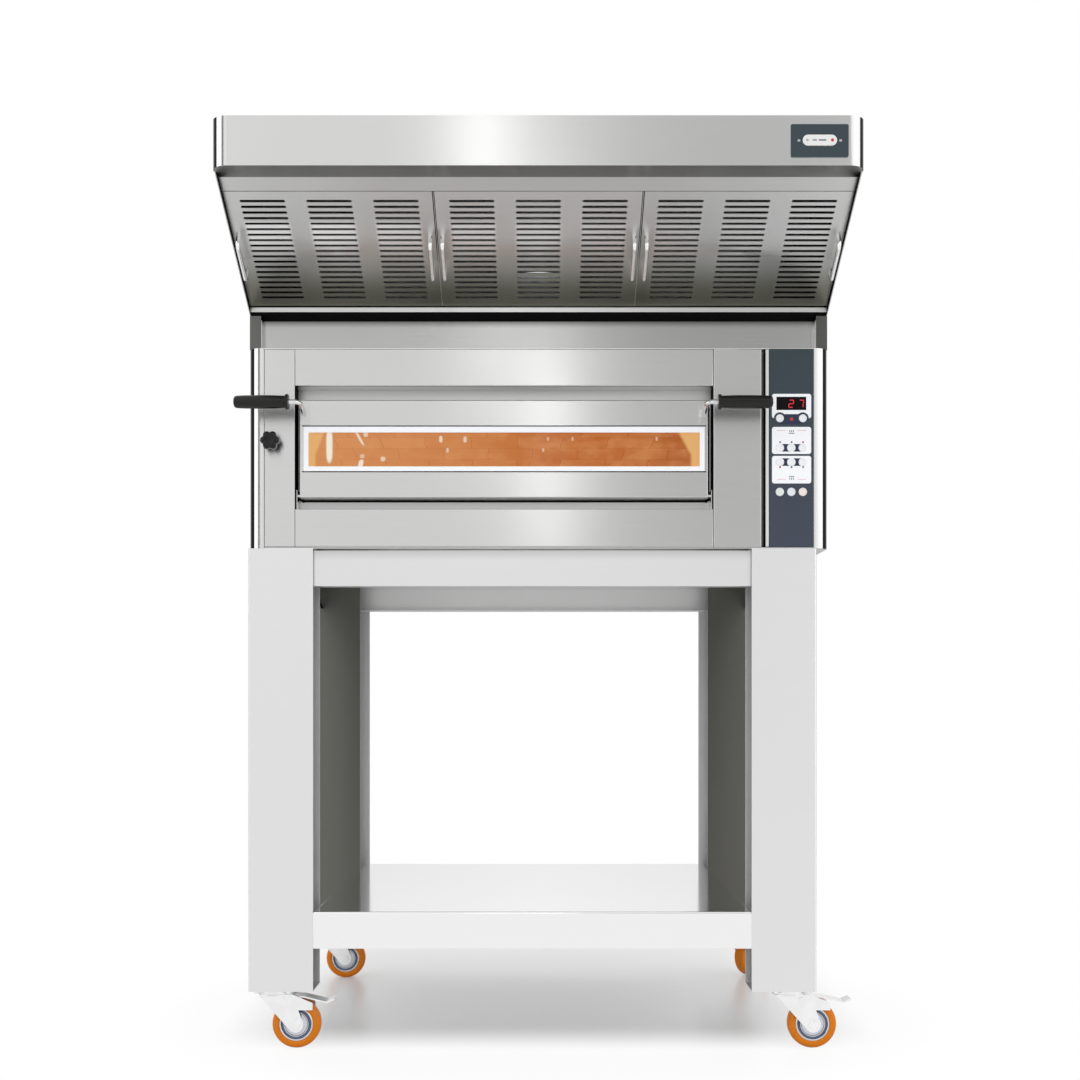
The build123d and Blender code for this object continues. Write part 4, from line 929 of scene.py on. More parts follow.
class Finishes:
    """Every finish of the object, each made once."""

    def __init__(self) -> None:
        """Make the finishes that need nothing of the pieces but where they lie."""
        bays = [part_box(f"filter_{side}") for side in ("left", "centre", "right")]
        middles = [(low.x + high.x) / 2 for low, high in bays]
        seams = tuple((first[1].x + second[0].x) / 2 for first, second in zip(bays, bays[1:]))
        columns = tuple(middle + step * SLOT_COLUMN_PITCH for middle in middles
                        for step in (-1, 0, 1))
        # Painted shade: the lower filter rows, the gutter panel just under the gutter and the rails
        # just under the oven darken.
        painted_shading = shade_between(FILTER_SHADE_MM, colour(112, 112, 98))
        under_gutter = shade_between(GUTTER_SHADE_MM, (0.10, 0.10, 0.095))
        under_oven = shade_between(RAIL_SHADE_MM, (0.62, 0.62, 0.62), 1.0)
        # The corner steels carry a painted dark reflection on their rounded upright corners.
        self.front_steel = CornerSteel("front_steel", (0.66, 0.66, 0.655), 0.235).make()
        self.band_steel = CornerSteel(
            "band_steel", (0.66, 0.66, 0.655), 0.235, dark_from=0.66).make()
        self.side_steel = BrushedSteel("side_steel", (0.66, 0.66, 0.655)).make()
        # Painted light: a lighter copy of the same steel, for faces that should read brighter.
        self.lit_steel = CornerSteel("lit_steel", (0.84, 0.84, 0.83), 0.36).make()
        # Painted shade: a darker copy of the same steel for the filter border.
        self.border_shade_steel = BrushedSteel("border_shade_steel", (0.64, 0.64, 0.63), 0.36).make()
        # Painted shade: a darker copy of the steel for the gutter panel, darker still just under
        # the gutter.
        self.panel_shade_steel = BrushedSteel(
            "panel_shade_steel", (0.52, 0.52, 0.515), 0.26, shade=under_gutter).make()
        self.shaded_steel = BrushedSteel("shaded_steel", (0.27, 0.27, 0.262), 0.24).make()
        # Painted shade: the darkest copy of the steel, for the hood's feet and the band's
        # underside.
        self.deep_shade_steel = BrushedSteel("deep_shade_steel", (0.14, 0.14, 0.135), 0.24).make()
        self.filter_steel = FilterSteel(
            "filter_steel", (0.66, 0.66, 0.65), 0.36, shade=painted_shading, seams=seams,
            columns=columns).make()
        self.stand_steel = BrushedSteel(
            "stand_steel", (0.82, 0.82, 0.82), 0.42, 0.04, 0.4, 0.008).make()
        # Painted shade: the rails darken just under the oven.
        self.rail_steel = BrushedSteel(
            "rail_steel", (0.80, 0.80, 0.80), 0.42, 0.04, 0.4, 0.008, under_oven).make()
        self.shelf_steel = BrushedSteel(
            "shelf_steel", (0.92, 0.92, 0.92), 0.11, 0.03, 0.0, 0.006, depth=0.000004).make()
        # Painted shade: a dark copy of the steel for the rear legs' inner webs.
        self.inner_shade_steel = BrushedSteel("inner_shade_steel", (0.15, 0.15, 0.135), 0.30).make()
        # Black finish of the seals, also used as painted shade on steel faces that lie in shadow.
        self.seal = Moulded(
            "black_seal_and_painted_shade", colour(9, 9, 9), colour(16, 16, 16), 0.7, specular=0.1).make()
        self.zinc = PlainMetal(
            "bright_zinc", (0.97, 0.97, 0.975), 0.36, 0.06, relief=0.00001, mottle=0.05).make()
        self.chrome = PlainMetal(
            "polished_bar", (0.75, 0.75, 0.75), 0.16, 0.04, relief=0.000006, mottle=0.05).make()
        self.wire = PlainMetal(
            "bright_wire", (0.97, 0.97, 0.97), 0.22, 0.04, relief=0.000006, mottle=0.03).make()
        self.dark_steel = PlainMetal("dark_sheath", (0.12, 0.11, 0.105), 0.45, 0.2).make()
        self.galvanised = Galvanised("galvanised", (0.62, 0.64, 0.66)).make()
        # Painted glow: the pale trim glows faintly through its lift.
        self.trim = Moulded(
            "pale_trim", colour(249, 251, 255), colour(245, 248, 254), 0.3, lift=0.14).make()
        self.hub = TurnedMetal("turned_hub", (0.70, 0.72, 0.76)).make()
        self.groove = Moulded(
            "hub_groove", colour(118, 132, 156), colour(134, 146, 166), 0.3, 0.1).make()
        self.tyre = Moulded(
            "orange_tyre", colour(226, 126, 2), colour(214, 114, 2), 0.42, 0.0, 500.0,
            specular=0.3).make()
        self.grip = Moulded(
            "black_grip", colour(16, 16, 13), colour(24, 24, 20), 0.24, 0.0, 700.0,
            specular=0.35).make()
        self.knob = Moulded(
            "black_knob", colour(6, 6, 6), colour(12, 12, 11), 0.12, 0.0, 800.0,
            specular=0.35).make()
        self.gland = Moulded("black_gland", colour(28, 28, 28), colour(44, 44, 44), 0.5).make()
        self.rocker = Moulded(
            "white_rocker", colour(240, 240, 240), colour(232, 232, 230), 0.22, 0.4).make()
        # Painted glow: the keys glow faintly through their lift.
        self.key = Moulded(
            "pale_key", colour(234, 236, 240), colour(226, 229, 234), 0.3, 0.2,
            lift=0.16).make()
        self.base_keys = [
            Moulded(f"{name}_key", tint, worn, 0.3, 0.2, lift=0.12).make()
            for name, tint, worn in (
                ("green", colour(226, 233, 229), colour(218, 227, 221)),
                ("blue", colour(227, 232, 240), colour(219, 226, 235)),
                ("pink", colour(240, 228, 224), colour(234, 219, 214)))]
        self.display = Moulded(
            "dark_display", colour(12, 6, 8), colour(16, 8, 10), 0.12, 0.0, specular=0.15).make()
        self.grey_ink, self.red_ink, self.pale_ink, self.pink_ink = (
            Moulded(f"{name}_ink", tint, worn, 0.5).make() for name, tint, worn in (
                ("grey", colour(112, 118, 128), colour(122, 128, 138)),
                ("red", colour(204, 52, 62), colour(196, 60, 66)),
                ("pale", colour(176, 184, 188), colour(160, 168, 172)),
                ("pink", colour(226, 168, 168), colour(220, 160, 160))))
        self.lit_red = Glowing("lit_red", colour(205, 32, 50), 0.6).make()
        self.clay = FiredClay().make()
        self.heated = HeatTintedSteel(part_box("chamber_liner")[0].y).make()
        self.wool = MineralWool().make()
        self.board = CircuitBoard().make()
        self.clear = ClearGlass("clear_glass").make()
        self.lamp = Glowing("lamp_glass", colour(255, 214, 150), 1.4).make()


# Edit-mode tools

def only(piece: bpy.types.Object) -> None:
    """Select one object alone and make it active."""
    bpy.ops.object.select_all(action="DESELECT")
    piece.select_set(True)
    bpy.context.view_layer.objects.active = piece


def edit(piece: bpy.types.Object) -> bmesh.types.BMesh:
    """Open an object in edit mode and return its mesh."""
    only(piece)
    bpy.ops.object.mode_set(mode="EDIT")
    return bmesh.from_edit_mesh(piece.data)


def leave() -> None:
    """Return to object mode."""
    bpy.ops.object.mode_set(mode="OBJECT")


def pick(piece: bpy.types.Object, edges: Iterable[bmesh.types.BMEdge]) -> None:
    """Select only the given edges of the open mesh.

    Args:
        piece: the object in edit mode.
        edges: edges of its open mesh.
    """
    bpy.ops.mesh.select_all(action="DESELECT")
    bpy.ops.mesh.select_mode(type="EDGE")
    for edge in edges:
        edge.select_set(True)
    bmesh.update_edit_mesh(piece.data)


def ease(piece: bpy.types.Object, width: float, segments: int = 2, angle: float = 35.0) -> None:
    """Round every sharp edge by a Bevel modifier, which is applied.

    Args:
        piece: the object.
        width: width of the rounding, in metres.
        segments: faces across it.
        angle: edges sharper than this many degrees are rounded.
    """
    only(piece)
    bevel = piece.modifiers.new("eased", "BEVEL")
    bevel.width = width
    bevel.segments = segments
    bevel.limit_method = "ANGLE"
    bevel.angle_limit = math.radians(angle)
    bevel.use_clamp_overlap = True
    bpy.ops.object.modifier_apply(modifier=bevel.name)


def smooth(piece: bpy.types.Object, angle: float = 32.0) -> None:
    """Shade curved faces smooth, keep sharp edges, and let wide faces shade flat.

    Args:
        piece: the object.
        angle: edges sharper than this many degrees stay sharp.
    """
    only(piece)
    bpy.ops.object.shade_smooth_by_angle(angle=math.radians(angle))
    weighted = piece.modifiers.new("flat_faces", "WEIGHTED_NORMAL")
    weighted.mode = "FACE_AREA"
    weighted.weight = 100
    weighted.keep_sharp = True
    bpy.ops.object.modifier_apply(modifier=weighted.name)


def settle(piece: bpy.types.Object) -> None:
    """Put the object's place and turn into its mesh."""
    only(piece)
    bpy.ops.object.transform_apply(location=True, rotation=True, scale=True)


def dress(piece: bpy.types.Object, material: bpy.types.Material) -> None:
    """Give a piece one material."""
    piece.data.materials.clear()
    piece.data.materials.append(material)


def islands(mesh: bmesh.types.BMesh) -> list[list[bmesh.types.BMVert]]:
    """Groups of connected points.

    Args:
        mesh: the open mesh.

    Returns:
        One list of points for each group.
    """
    groups, seen = [], set()
    for start in mesh.verts:
        if start in seen:
            continue
        group, front = [], [start]
        seen.add(start)
        while front:
            point = front.pop()
            group.append(point)
            for edge in point.link_edges:
                other = edge.other_vert(point)
                if other not in seen:
                    seen.add(other)
                    front.append(other)
        groups.append(group)
    return groups


@dataclass(frozen=True)
class Fold:
    """Rounding of the outer edges of folded sheet: its radius, and the side that it goes round."""

    radius: float
    side: Facing
    segments: int = 4


def fold_edges(mesh: bmesh.types.BMesh, fold: Fold) -> list[bmesh.types.BMEdge]:
    """Outer edges of every island's face that looks the fold's way.

    Args:
        mesh: the open mesh.
        fold: the fold, whose side is used.

    Returns:
        Those edges.
    """
    axis = max(range(3), key=lambda index: abs(fold.side.value[index]))
    high_side = fold.side.value[axis] > 0
    near = 2e-5
    chosen = []
    for group in islands(mesh):
        low = [min(v.co[i] for v in group) for i in range(3)]
        high = [max(v.co[i] for v in group) for i in range(3)]
        face = high[axis] if high_side else low[axis]
        members = set(group)
        others = [i for i in range(3) if i != axis]
        for edge in {e for v in group for e in v.link_edges}:
            first, second = edge.verts
            if first not in members or any(abs(v.co[axis] - face) > near for v in edge.verts):
                continue
            if any(all(abs(v.co[i] - side[i]) < near for v in edge.verts)
                   for i in others for side in (low, high)):
                chosen.append(edge)
    return chosen


def number_solids(mesh: bmesh.types.BMesh, layer: bmesh.types.BMLayerItem) -> int:
    """Number the faces of each solid, which meet along edges of two faces, and count the solids.

    Args:
        mesh: the open mesh.
        layer: layer of the faces that takes the numbers.

    Returns:
        How many solids there are.
    """
    count, seen = 0, set()
    for start in mesh.faces:
        if start in seen:
            continue
        front = [start]
        seen.add(start)
        while front:
            face = front.pop()
            face[layer] = count
            for edge in face.edges:
                if len(edge.link_faces) == 2:
                    for other in edge.link_faces:
                        if other not in seen:
                            seen.add(other)
                            front.append(other)
        count += 1
    return count


def part_solids(piece: bpy.types.Object) -> None:
    """Part solids of the open mesh that only touch, so that each keeps its own points.

    Args:
        piece: the object in edit mode.
    """
    mesh = bmesh.from_edit_mesh(piece.data)
    count = number_solids(mesh, mesh.faces.layers.int.new("solid"))
    for index in range(1, count):
        mesh = bmesh.from_edit_mesh(piece.data)
        layer = mesh.faces.layers.int["solid"]
        bpy.ops.mesh.select_mode(type="FACE")
        bpy.ops.mesh.select_all(action="DESELECT")
        for face in mesh.faces:
            if face[layer] == index:
                face.select_set(True)
        bmesh.update_edit_mesh(piece.data)
        bpy.ops.mesh.split()
    mesh = bmesh.from_edit_mesh(piece.data)
    mesh.faces.layers.int.remove(mesh.faces.layers.int["solid"])
    bpy.ops.mesh.select_mode(type="VERT")
    bpy.ops.mesh.select_all(action="SELECT")


def copy_node(frame: dict, node: str, name: str) -> bpy.types.Object:
    """Copy a CAD node, join its loose triangles and dissolve its flat faces.

    Args:
        frame: the loaded frame.
        node: the CAD node.
        name: name of the copy.

    Returns:
        The copy.
    """
    piece = bpy.data.objects.new(name, frame["nodes"][node].data.copy())
    bpy.context.collection.objects.link(piece)
    only(piece)
    if piece.data.has_custom_normals:
        bpy.ops.mesh.customdata_custom_splitnormals_clear()
    edit(piece)
    bpy.ops.mesh.select_all(action="SELECT")
    bpy.ops.mesh.remove_doubles(threshold=1e-6)
    part_solids(piece)
    bpy.ops.mesh.dissolve_limited(angle_limit=math.radians(0.2))
    leave()
    return piece


def sheet_metal(frame: dict, node: str, name: str, body: str, material: bpy.types.Material,
                slot: str, folds: Sequence[Fold] = (), eased: float = 0.0004) -> bpy.types.Object:
    """Copy a CAD node and give it folded and eased edges.

    Args:
        frame: the loaded frame.
        node: CAD node that the piece replaces.
        name: name of the new piece.
        body: CAD body that it rides on.
        material: finish of the whole piece.
        slot: the record's material slot.
        folds: outer edges that are rounded further than the rest.
        eased: width of the rounding of every other sharp edge.

    Returns:
        The new piece.
    """
    piece = copy_node(frame, node, name)
    for fold in folds:
        mesh = edit(piece)
        pick(piece, fold_edges(mesh, fold))
        bpy.ops.mesh.bevel(
            offset=fold.radius, segments=fold.segments, affect="EDGES", clamp_overlap=True)
        leave()
    ease(piece, eased)
    smooth(piece)
    dress(piece, material)
    finish_piece(piece, body, slot, node)
    return piece


def finish_piece(piece: bpy.types.Object, body: str, slot: str, *nodes: str) -> None:
    """Attach a piece to the body that carries it and hide the nodes that it replaces.

    Args:
        piece: the finished piece.
        body: CAD body that it rides on.
        slot: not used.
        nodes: CAD nodes that it takes the place of.
    """
    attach(piece, body)
    if nodes:
        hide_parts(*nodes)
    log.info("%s rides on %s", piece.name, body)


def turned(name: str, profile: Sequence[tuple[float, float]], base: Vector, heading: Vector,
           steps: int, ring: bool = False) -> bpy.types.Object:
    """Turn a piece round an axis.

    Args:
        name: name of the piece.
        profile: distance along the axis and radius of each ring, in metres.
        base: point of the axis from which the distances count.
        heading: direction of the axis.
        steps: points on each ring.
        ring: True closes the last ring on the first one, False closes both ends.

    Returns:
        The piece, with its radius attribute.
    """
    along, radius = profile[0]
    bpy.ops.object.select_all(action="DESELECT")
    bpy.ops.mesh.primitive_circle_add(
        vertices=steps, radius=radius, location=(0, 0, 0), fill_type="NOTHING")
    piece = bpy.context.object
    piece.name = piece.data.name = name
    edit(piece)
    bpy.ops.mesh.select_all(action="SELECT")
    bpy.ops.transform.translate(value=(0, 0, along))
    if not ring:
        bpy.ops.mesh.edge_face_add()
    for next_along, next_radius in profile[1:]:
        bpy.ops.mesh.extrude_region_move(
            TRANSFORM_OT_translate={"value": (0, 0, next_along - along)})
        factor = next_radius / radius
        bpy.ops.transform.resize(
            value=(factor, factor, 1), center_override=(0, 0, next_along))
        along, radius = next_along, next_radius
    bpy.ops.mesh.select_all(action="SELECT")
    bpy.ops.mesh.remove_doubles(threshold=1e-7)
    bpy.ops.mesh.normals_make_consistent(inside=False)
    leave()
    note_radius(piece)
    point_along(piece, base, heading)
    return piece


def point_along(piece: bpy.types.Object, base: Vector, heading: Vector) -> None:
    """Move a piece to a base and turn its Z axis to a heading.

    Args:
        piece: a piece modelled round its own Z axis.
        base: where its origin goes.
        heading: where its Z axis points.
    """
    turn = heading.to_track_quat("Z", "Y").to_matrix().to_4x4()
    piece.matrix_world = Matrix.Translation(base) @ turn
    settle(piece)


def note_radius(piece: bpy.types.Object) -> None:
    """Keep each point's distance from the local Z axis as an attribute."""
    layer = piece.data.attributes.new("radius", "FLOAT", "POINT")
    layer.data.foreach_set("value", [math.hypot(v.co.x, v.co.y) for v in piece.data.vertices])


def plate(name: str, size: tuple[float, float], corner: float, thickness: float, middle: Vector,
          steps: int, eased: float = 0.0, strip: float = 0.0) -> bpy.types.Object:
    """Flat piece or frame with rounded corners, which looks forward.

    Args:
        name: name of the piece.
        size: outer width and height, in metres.
        corner: outer radius of its corners.
        thickness: how far its front stands off its back.
        middle: middle of its back.
        steps: segments in each corner.
        eased: width of the rounding of its sharp edges.
        strip: how wide a frame's strips are, 0 for a full piece.

    Returns:
        The piece.
    """
    bpy.ops.object.select_all(action="DESELECT")
    bpy.ops.mesh.primitive_plane_add(size=1.0, location=(0, 0, 0))
    piece = bpy.context.object
    piece.name = piece.data.name = name
    edit(piece)
    bpy.ops.mesh.select_all(action="SELECT")
    bpy.ops.transform.resize(value=(*size, 1))
    if corner:
        bpy.ops.mesh.bevel(offset=corner, segments=steps, affect="VERTICES", clamp_overlap=True)
        bpy.ops.mesh.select_all(action="SELECT")
    if strip:
        bpy.ops.mesh.inset(thickness=strip)
        bpy.ops.mesh.delete(type="FACE")
        bpy.ops.mesh.select_all(action="SELECT")
    bpy.ops.mesh.extrude_region_move(TRANSFORM_OT_translate={"value": (0, 0, thickness)})
    bpy.ops.mesh.select_all(action="SELECT")
    bpy.ops.mesh.normals_make_consistent(inside=False)
    leave()
    stand_up = Matrix((UP.cross(FRONT), UP, FRONT)).transposed().to_4x4()
    piece.matrix_world = Matrix.Translation(middle) @ stand_up
    settle(piece)
    if eased:
        ease(piece, eased)
    return piece


def looks(face: bpy.types.MeshPolygon, side: Facing, least: float = 0.9) -> bool:
    """True for a face whose normal points a given way."""
    return face.normal.dot(Vector(side.value)) > least


def refinish(piece: bpy.types.Object, material: bpy.types.Material,
             chosen: Callable[[bpy.types.MeshPolygon], bool]) -> None:
    """Give some of a piece's faces a second finish.

    Args:
        piece: the piece.
        material: the second finish.
        chosen: test that is true for the faces that take it.
    """
    piece.data.materials.append(material)
    index = len(piece.data.materials) - 1
    for face in piece.data.polygons:
        if chosen(face):
            face.material_index = index


def joined(name: str, pieces: Sequence[bpy.types.Object]) -> bpy.types.Object:
    """Join pieces, which keep their materials, into one with the given name.

    Args:
        name: name of the whole.
        pieces: at least one piece.

    Returns:
        The whole.
    """
    bpy.ops.object.select_all(action="DESELECT")
    for piece in pieces:
        piece.select_set(True)
    bpy.context.view_layer.objects.active = pieces[0]
    bpy.ops.object.join()
    whole = bpy.context.object
    whole.name = whole.data.name = name
    return whole


def moved_copy(source: bpy.types.Object, name: str, shift: Vector) -> bpy.types.Object:
    """Copy of a piece with its own mesh, moved by a shift.

    Args:
        source: the piece that is copied.
        name: name of the copy.
        shift: how far it moves.

    Returns:
        The copy.
    """
    piece = bpy.data.objects.new(name, source.data.copy())
    bpy.context.collection.objects.link(piece)
    piece.data.name = name
    piece.data.transform(Matrix.Translation(shift))
    return piece


# Stand

@dataclass
class Stand:
    """Folded legs, top rails and the shelf."""

    frame: dict
    finishes: Finishes
    leg_edge: float = 0.0012
    rail_fold: float = 0.003
    shelf_fold: float = 0.004
    rear_webs: tuple[float, float] = (0.45, 0.60)

    def build(self) -> None:
        """Build the stand's sheet metal and dress its fasteners."""
        steel = self.finishes.stand_steel
        legs = sheet_metal(self.frame, "stand_legs", "legs", "root", steel, "stand",
                           eased=self.leg_edge / 2)
        # Painted shade: the rear legs' forward-facing inner webs take a dark copy of the steel.
        refinish(legs, self.finishes.inner_shade_steel,
                 lambda face: looks(face, Facing.FORWARD)
                 and self.rear_webs[0] < face.center.y < self.rear_webs[1])
        sheet_metal(self.frame, "stand_rails", "rails", "root", self.finishes.rail_steel, "stand",
                    [Fold(self.rail_fold, Facing.DOWN)], 0.0003)
        sheet_metal(self.frame, "stand_shelf", "shelf", "root", self.finishes.shelf_steel, "stand",
                    [Fold(self.shelf_fold, Facing.UP)], 0.0003)
        for node in ("castor_plates", "castor_bolts"):
            dress(self.frame["nodes"][node], self.finishes.zinc)


@dataclass
class Castor:
    """One swivelling castor: pressed fork, turned hub, moulded tyre and, in front, a brake."""

    frame: dict
    finishes: Finishes
    place: str
    braked: bool
    tyre_radius: float = 0.050
    hub_radius: float = 0.035
    half_width: float = 0.017
    boss_half: float = 0.020
    axle_radius: float = 0.006

    def axis(self) -> tuple[Vector, Vector]:
        """Middle of the wheel and the direction of its axle, from the record's joint."""
        joint = next(j for j in self.frame["joints"] if j["name"] == f"wheel_{self.place}")
        return Vector(joint["pos_m"]), Vector(joint["axis"]).normalized()

    def build_tyre(self, centre: Vector, axle: Vector) -> bpy.types.Object:
        """Moulded tyre with round shoulders and a fine parting line.

        Args:
            centre: middle of the wheel.
            axle: direction of its axle.

        Returns:
            The tyre.
        """
        half, outer, inner = self.half_width, self.tyre_radius, self.hub_radius
        side = [(0.0, outer), (0.0006, outer - 0.00015), (0.007, outer - 0.0002),
                (0.0105, outer - 0.0007), (0.0135, outer - 0.0021), (0.0157, outer - 0.0045),
                (0.0167, outer - 0.0078), (half, outer - 0.0115), (half - 0.0003, inner + 0.0012),
                (half - 0.0012, inner)]
        profile = [(-along, radius) for along, radius in reversed(side[1:])] + side
        tyre = turned(f"tyre_{self.place}", profile + [profile[0]], centre, axle, 96, ring=True)
        smooth(tyre, 40.0)
        dress(tyre, self.finishes.tyre)
        return tyre

    def build_hub(self, centre: Vector, axle: Vector) -> bpy.types.Object:
        """Hub with a boss, a bearing cap, a dished web and a dark groove in each face.

        Args:
            centre: middle of the wheel.
            axle: direction of its axle.

        Returns:
            The hub.
        """
        half, boss, rim = self.half_width, self.boss_half, self.hub_radius
        side = [(boss, self.axle_radius + 0.0001), (boss, 0.0100), (boss - 0.0008, 0.0108),
                (half + 0.0008, 0.0112), (half + 0.0002, 0.0120), (half + 0.0002, 0.0146),
                (half - 0.0012, 0.0152), (half - 0.0022, 0.0170), (half - 0.0022, 0.0228),
                (half - 0.0006, 0.0240), (half - 0.0006, 0.0256), (half - 0.0060, 0.0262),
                (half - 0.0060, 0.0308), (half - 0.0008, 0.0313), (half - 0.0002, 0.0322),
                (half - 0.0002, rim - 0.0012), (half - 0.0012, rim)]
        profile = side + [(-along, radius) for along, radius in reversed(side)]
        hub = turned(f"hub_{self.place}", profile + [profile[0]], centre, axle, 96, ring=True)
        smooth(hub, 30.0)
        dress(hub, self.finishes.hub)
        hub.data.materials.append(self.finishes.groove)
        for face in hub.data.polygons:
            offset = face.center - centre
            along = abs(offset.dot(axle))
            radius = (offset - axle * offset.dot(axle)).length
            if 0.0258 < radius < 0.0311 and 0.009 < along < half - 0.0008:
                face.material_index = 1
        return hub

    def build(self) -> None:
        """Build the castor's pieces."""
        centre, axle = self.axis()
        wheel = f"castor_wheel_{self.place}"
        for piece in (self.build_tyre(centre, axle), self.build_hub(centre, axle)):
            finish_piece(piece, f"wheel_{self.place}", "tyre", wheel)
        sheet_metal(self.frame, f"castor_fork_{self.place}", f"fork_{self.place}",
                    f"swivel_{self.place}", self.finishes.zinc, "zinc", eased=0.0006)
        if self.braked:
            sheet_metal(self.frame, f"castor_brake_{self.place}", f"brake_pedal_{self.place}",
                        f"brake_{self.place}", self.finishes.zinc, "zinc", eased=0.0005)


# Oven

@dataclass
class OvenBody:
    """Outer sheet metal of the oven, its chamber and what is inside."""

    frame: dict
    finishes: Finishes
    strip_fold: float = 0.0020
    seal_reach: float = 0.0070
    seal_below: float = 0.0035
    seal_width: float = 0.022
    return_reach: float = 0.012
    channel: tuple[float, float] = (0.0165, 0.0060)
    screw_radius: float = 0.0045
    screw_height: float = 0.0024
    screw_inset: float = 0.014
    screw_gaps: int = 4

    def lies_in_shadow(self, face: bpy.types.MeshPolygon) -> bool:
        """True for the returns beside the door and for the channel beside the controls.

        Args:
            face: a face of the front strips.

        Returns:
            The answer.
        """
        door = [corner.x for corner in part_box("door_panel")]
        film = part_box("control_panel")[0].x
        sideways = abs(face.normal.x) > 0.9
        beside_door = min(abs(face.center.x - edge) for edge in door) < self.return_reach
        in_channel = self.channel[1] < film - face.center.x < self.channel[0]
        return sideways and (beside_door or in_channel)

    def is_channel_floor(self, face: bpy.types.MeshPolygon) -> bool:
        """True for the floor of the channel beside the controls.

        Args:
            face: a face of the front strips.

        Returns:
            The answer.
        """
        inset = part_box("control_panel")[0].x - face.center.x
        sunk = face.center.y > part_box("door_panel")[0].y
        in_channel = self.channel[1] < inset < self.channel[0]
        return looks(face, Facing.FORWARD) and sunk and in_channel

    def build_seal(self) -> None:
        """Dark seal on the chamber's front frame, seen as a line round the door."""
        low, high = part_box("door_panel")
        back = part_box("chamber_liner")[0].y
        top = high.z - 0.004
        bottom = low.z - self.seal_below
        size = (high.x - low.x + 2 * self.seal_reach, top - bottom)
        middle = Vector(((low.x + high.x) / 2, back, (top + bottom) / 2))
        seal = plate("door_seal", size, 0.008, 0.0026, middle, 5, 0.0008, self.seal_width)
        smooth(seal)
        dress(seal, self.finishes.seal)
        finish_piece(seal, "root", "gland")

    def build_screws(self) -> None:
        """Pan-head screws that hold the rear panel, along its edges."""
        low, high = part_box("oven_rear_panel")
        left, right = low.x + self.screw_inset, high.x - self.screw_inset
        bottom, top = low.z + self.screw_inset, high.z - self.screw_inset
        places = [(left + (right - left) * part / self.screw_gaps, z)
                  for part in range(self.screw_gaps + 1) for z in (bottom, top)]
        places += [(x, (bottom + top) / 2) for x in (left, right)]
        radius, height = self.screw_radius, self.screw_height
        profile = [(0.0, radius * 0.9), (height * 0.2, radius), (height * 0.6, radius * 0.92),
                   (height, radius * 0.6), (height, radius * 0.35), (height * 0.5, radius * 0.3),
                   (height * 0.5, radius * 0.02)]
        screws = []
        for x, z in places:
            screw = turned("screw", profile, Vector((x, high.y, z)), Vector((0, 1, 0)), 24)
            smooth(screw, 40.0)
            dress(screw, self.finishes.zinc)
            screws.append(screw)
        finish_piece(joined("rear_screws", screws), "root", "zinc")

    def build(self) -> None:
        """Build the oven's sheet metal and dress its inner pieces."""
        done = self.finishes
        sheet_metal(self.frame, "oven_side_panels", "side_panels", "root", done.front_steel,
                    "steel", eased=0.0005)
        strips = sheet_metal(self.frame, "oven_fascia", "front_strips", "root", done.front_steel,
                             "steel", [Fold(self.strip_fold, Facing.FORWARD, 3)], 0.0003)
        # Painted shade: the returns beside the door and the channel walls take the black seal
        # finish.
        refinish(strips, done.seal, self.lies_in_shadow)
        refinish(strips, done.shaded_steel, self.is_channel_floor)
        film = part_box("control_panel")[0].x
        # Painted light: the strip between the channel and the film takes the lighter steel.
        refinish(strips, done.lit_steel,
                 lambda face: looks(face, Facing.FORWARD)
                 and 0 < film - face.center.x < self.channel[1])
        sheet_metal(self.frame, "oven_rear_panel", "rear_panel", "root", done.side_steel, "steel",
                    eased=0.0003)
        self.build_screws()
        self.build_seal()
        dressing = {
            "oven_top_cover": done.lit_steel, "oven_base": done.lit_steel,
            "chamber_liner": done.heated, "deck_stones": done.clay,
            "heating_elements": done.dark_steel, "insulation": done.wool,
            "flue_duct": done.galvanised, "vent_rod": done.chrome, "control_board": done.board,
            "chamber_lamp": done.lamp, "power_gland": done.gland,
        }
        for node, material in dressing.items():
            dress(self.frame["nodes"][node], material)


@dataclass
class VentKnob:
    """Lobed black knob of the steam vent."""

    frame: dict
    finishes: Finishes
    lobes: int = 6
    radius: float = 0.0195
    waist: float = 0.0155
    length: float = 0.028

    def outline(self, angle: float) -> float:
        """Radius of the lobed outline at an angle."""
        swell = (0.5 + 0.5 * math.cos(self.lobes * angle)) ** 0.5
        return self.waist + (self.radius - self.waist) * swell

    def build(self) -> None:
        """Build the knob."""
        low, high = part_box("vent_knob")
        middle = (low + high) / 2
        profile = [(0.0, 0.55), (0.0, 0.60), (0.0045, 0.62), (0.0065, 0.86), (0.0085, 0.97),
                   (0.0110, 1.0), (0.0225, 1.0), (0.0250, 0.965), (0.0268, 0.89), (0.0277, 0.76),
                   (0.0280, 0.60), (0.0276, 0.50), (0.0272, 0.30), (0.0271, 0.05)]
        base = Vector((middle.x, high.y, middle.z))
        knob = turned("knob", [(along, level * self.radius) for along, level in profile],
                      Vector((0, 0, 0)), UP, 96)
        mesh = edit(knob)
        for point in mesh.verts:
            flat = math.hypot(point.co.x, point.co.y)
            share = min(1.0, flat / (self.radius * 0.75))
            angle = math.atan2(point.co.y, point.co.x)
            factor = 1 + share * (self.outline(angle) / self.radius - 1)
            point.co.x *= factor
            point.co.y *= factor
        bmesh.update_edit_mesh(knob.data)
        leave()
        point_along(knob, base, FRONT)
        smooth(knob, 50.0)
        dress(knob, self.finishes.knob)
        finish_piece(knob, "vent_pull", "grip", "vent_knob")


# Door

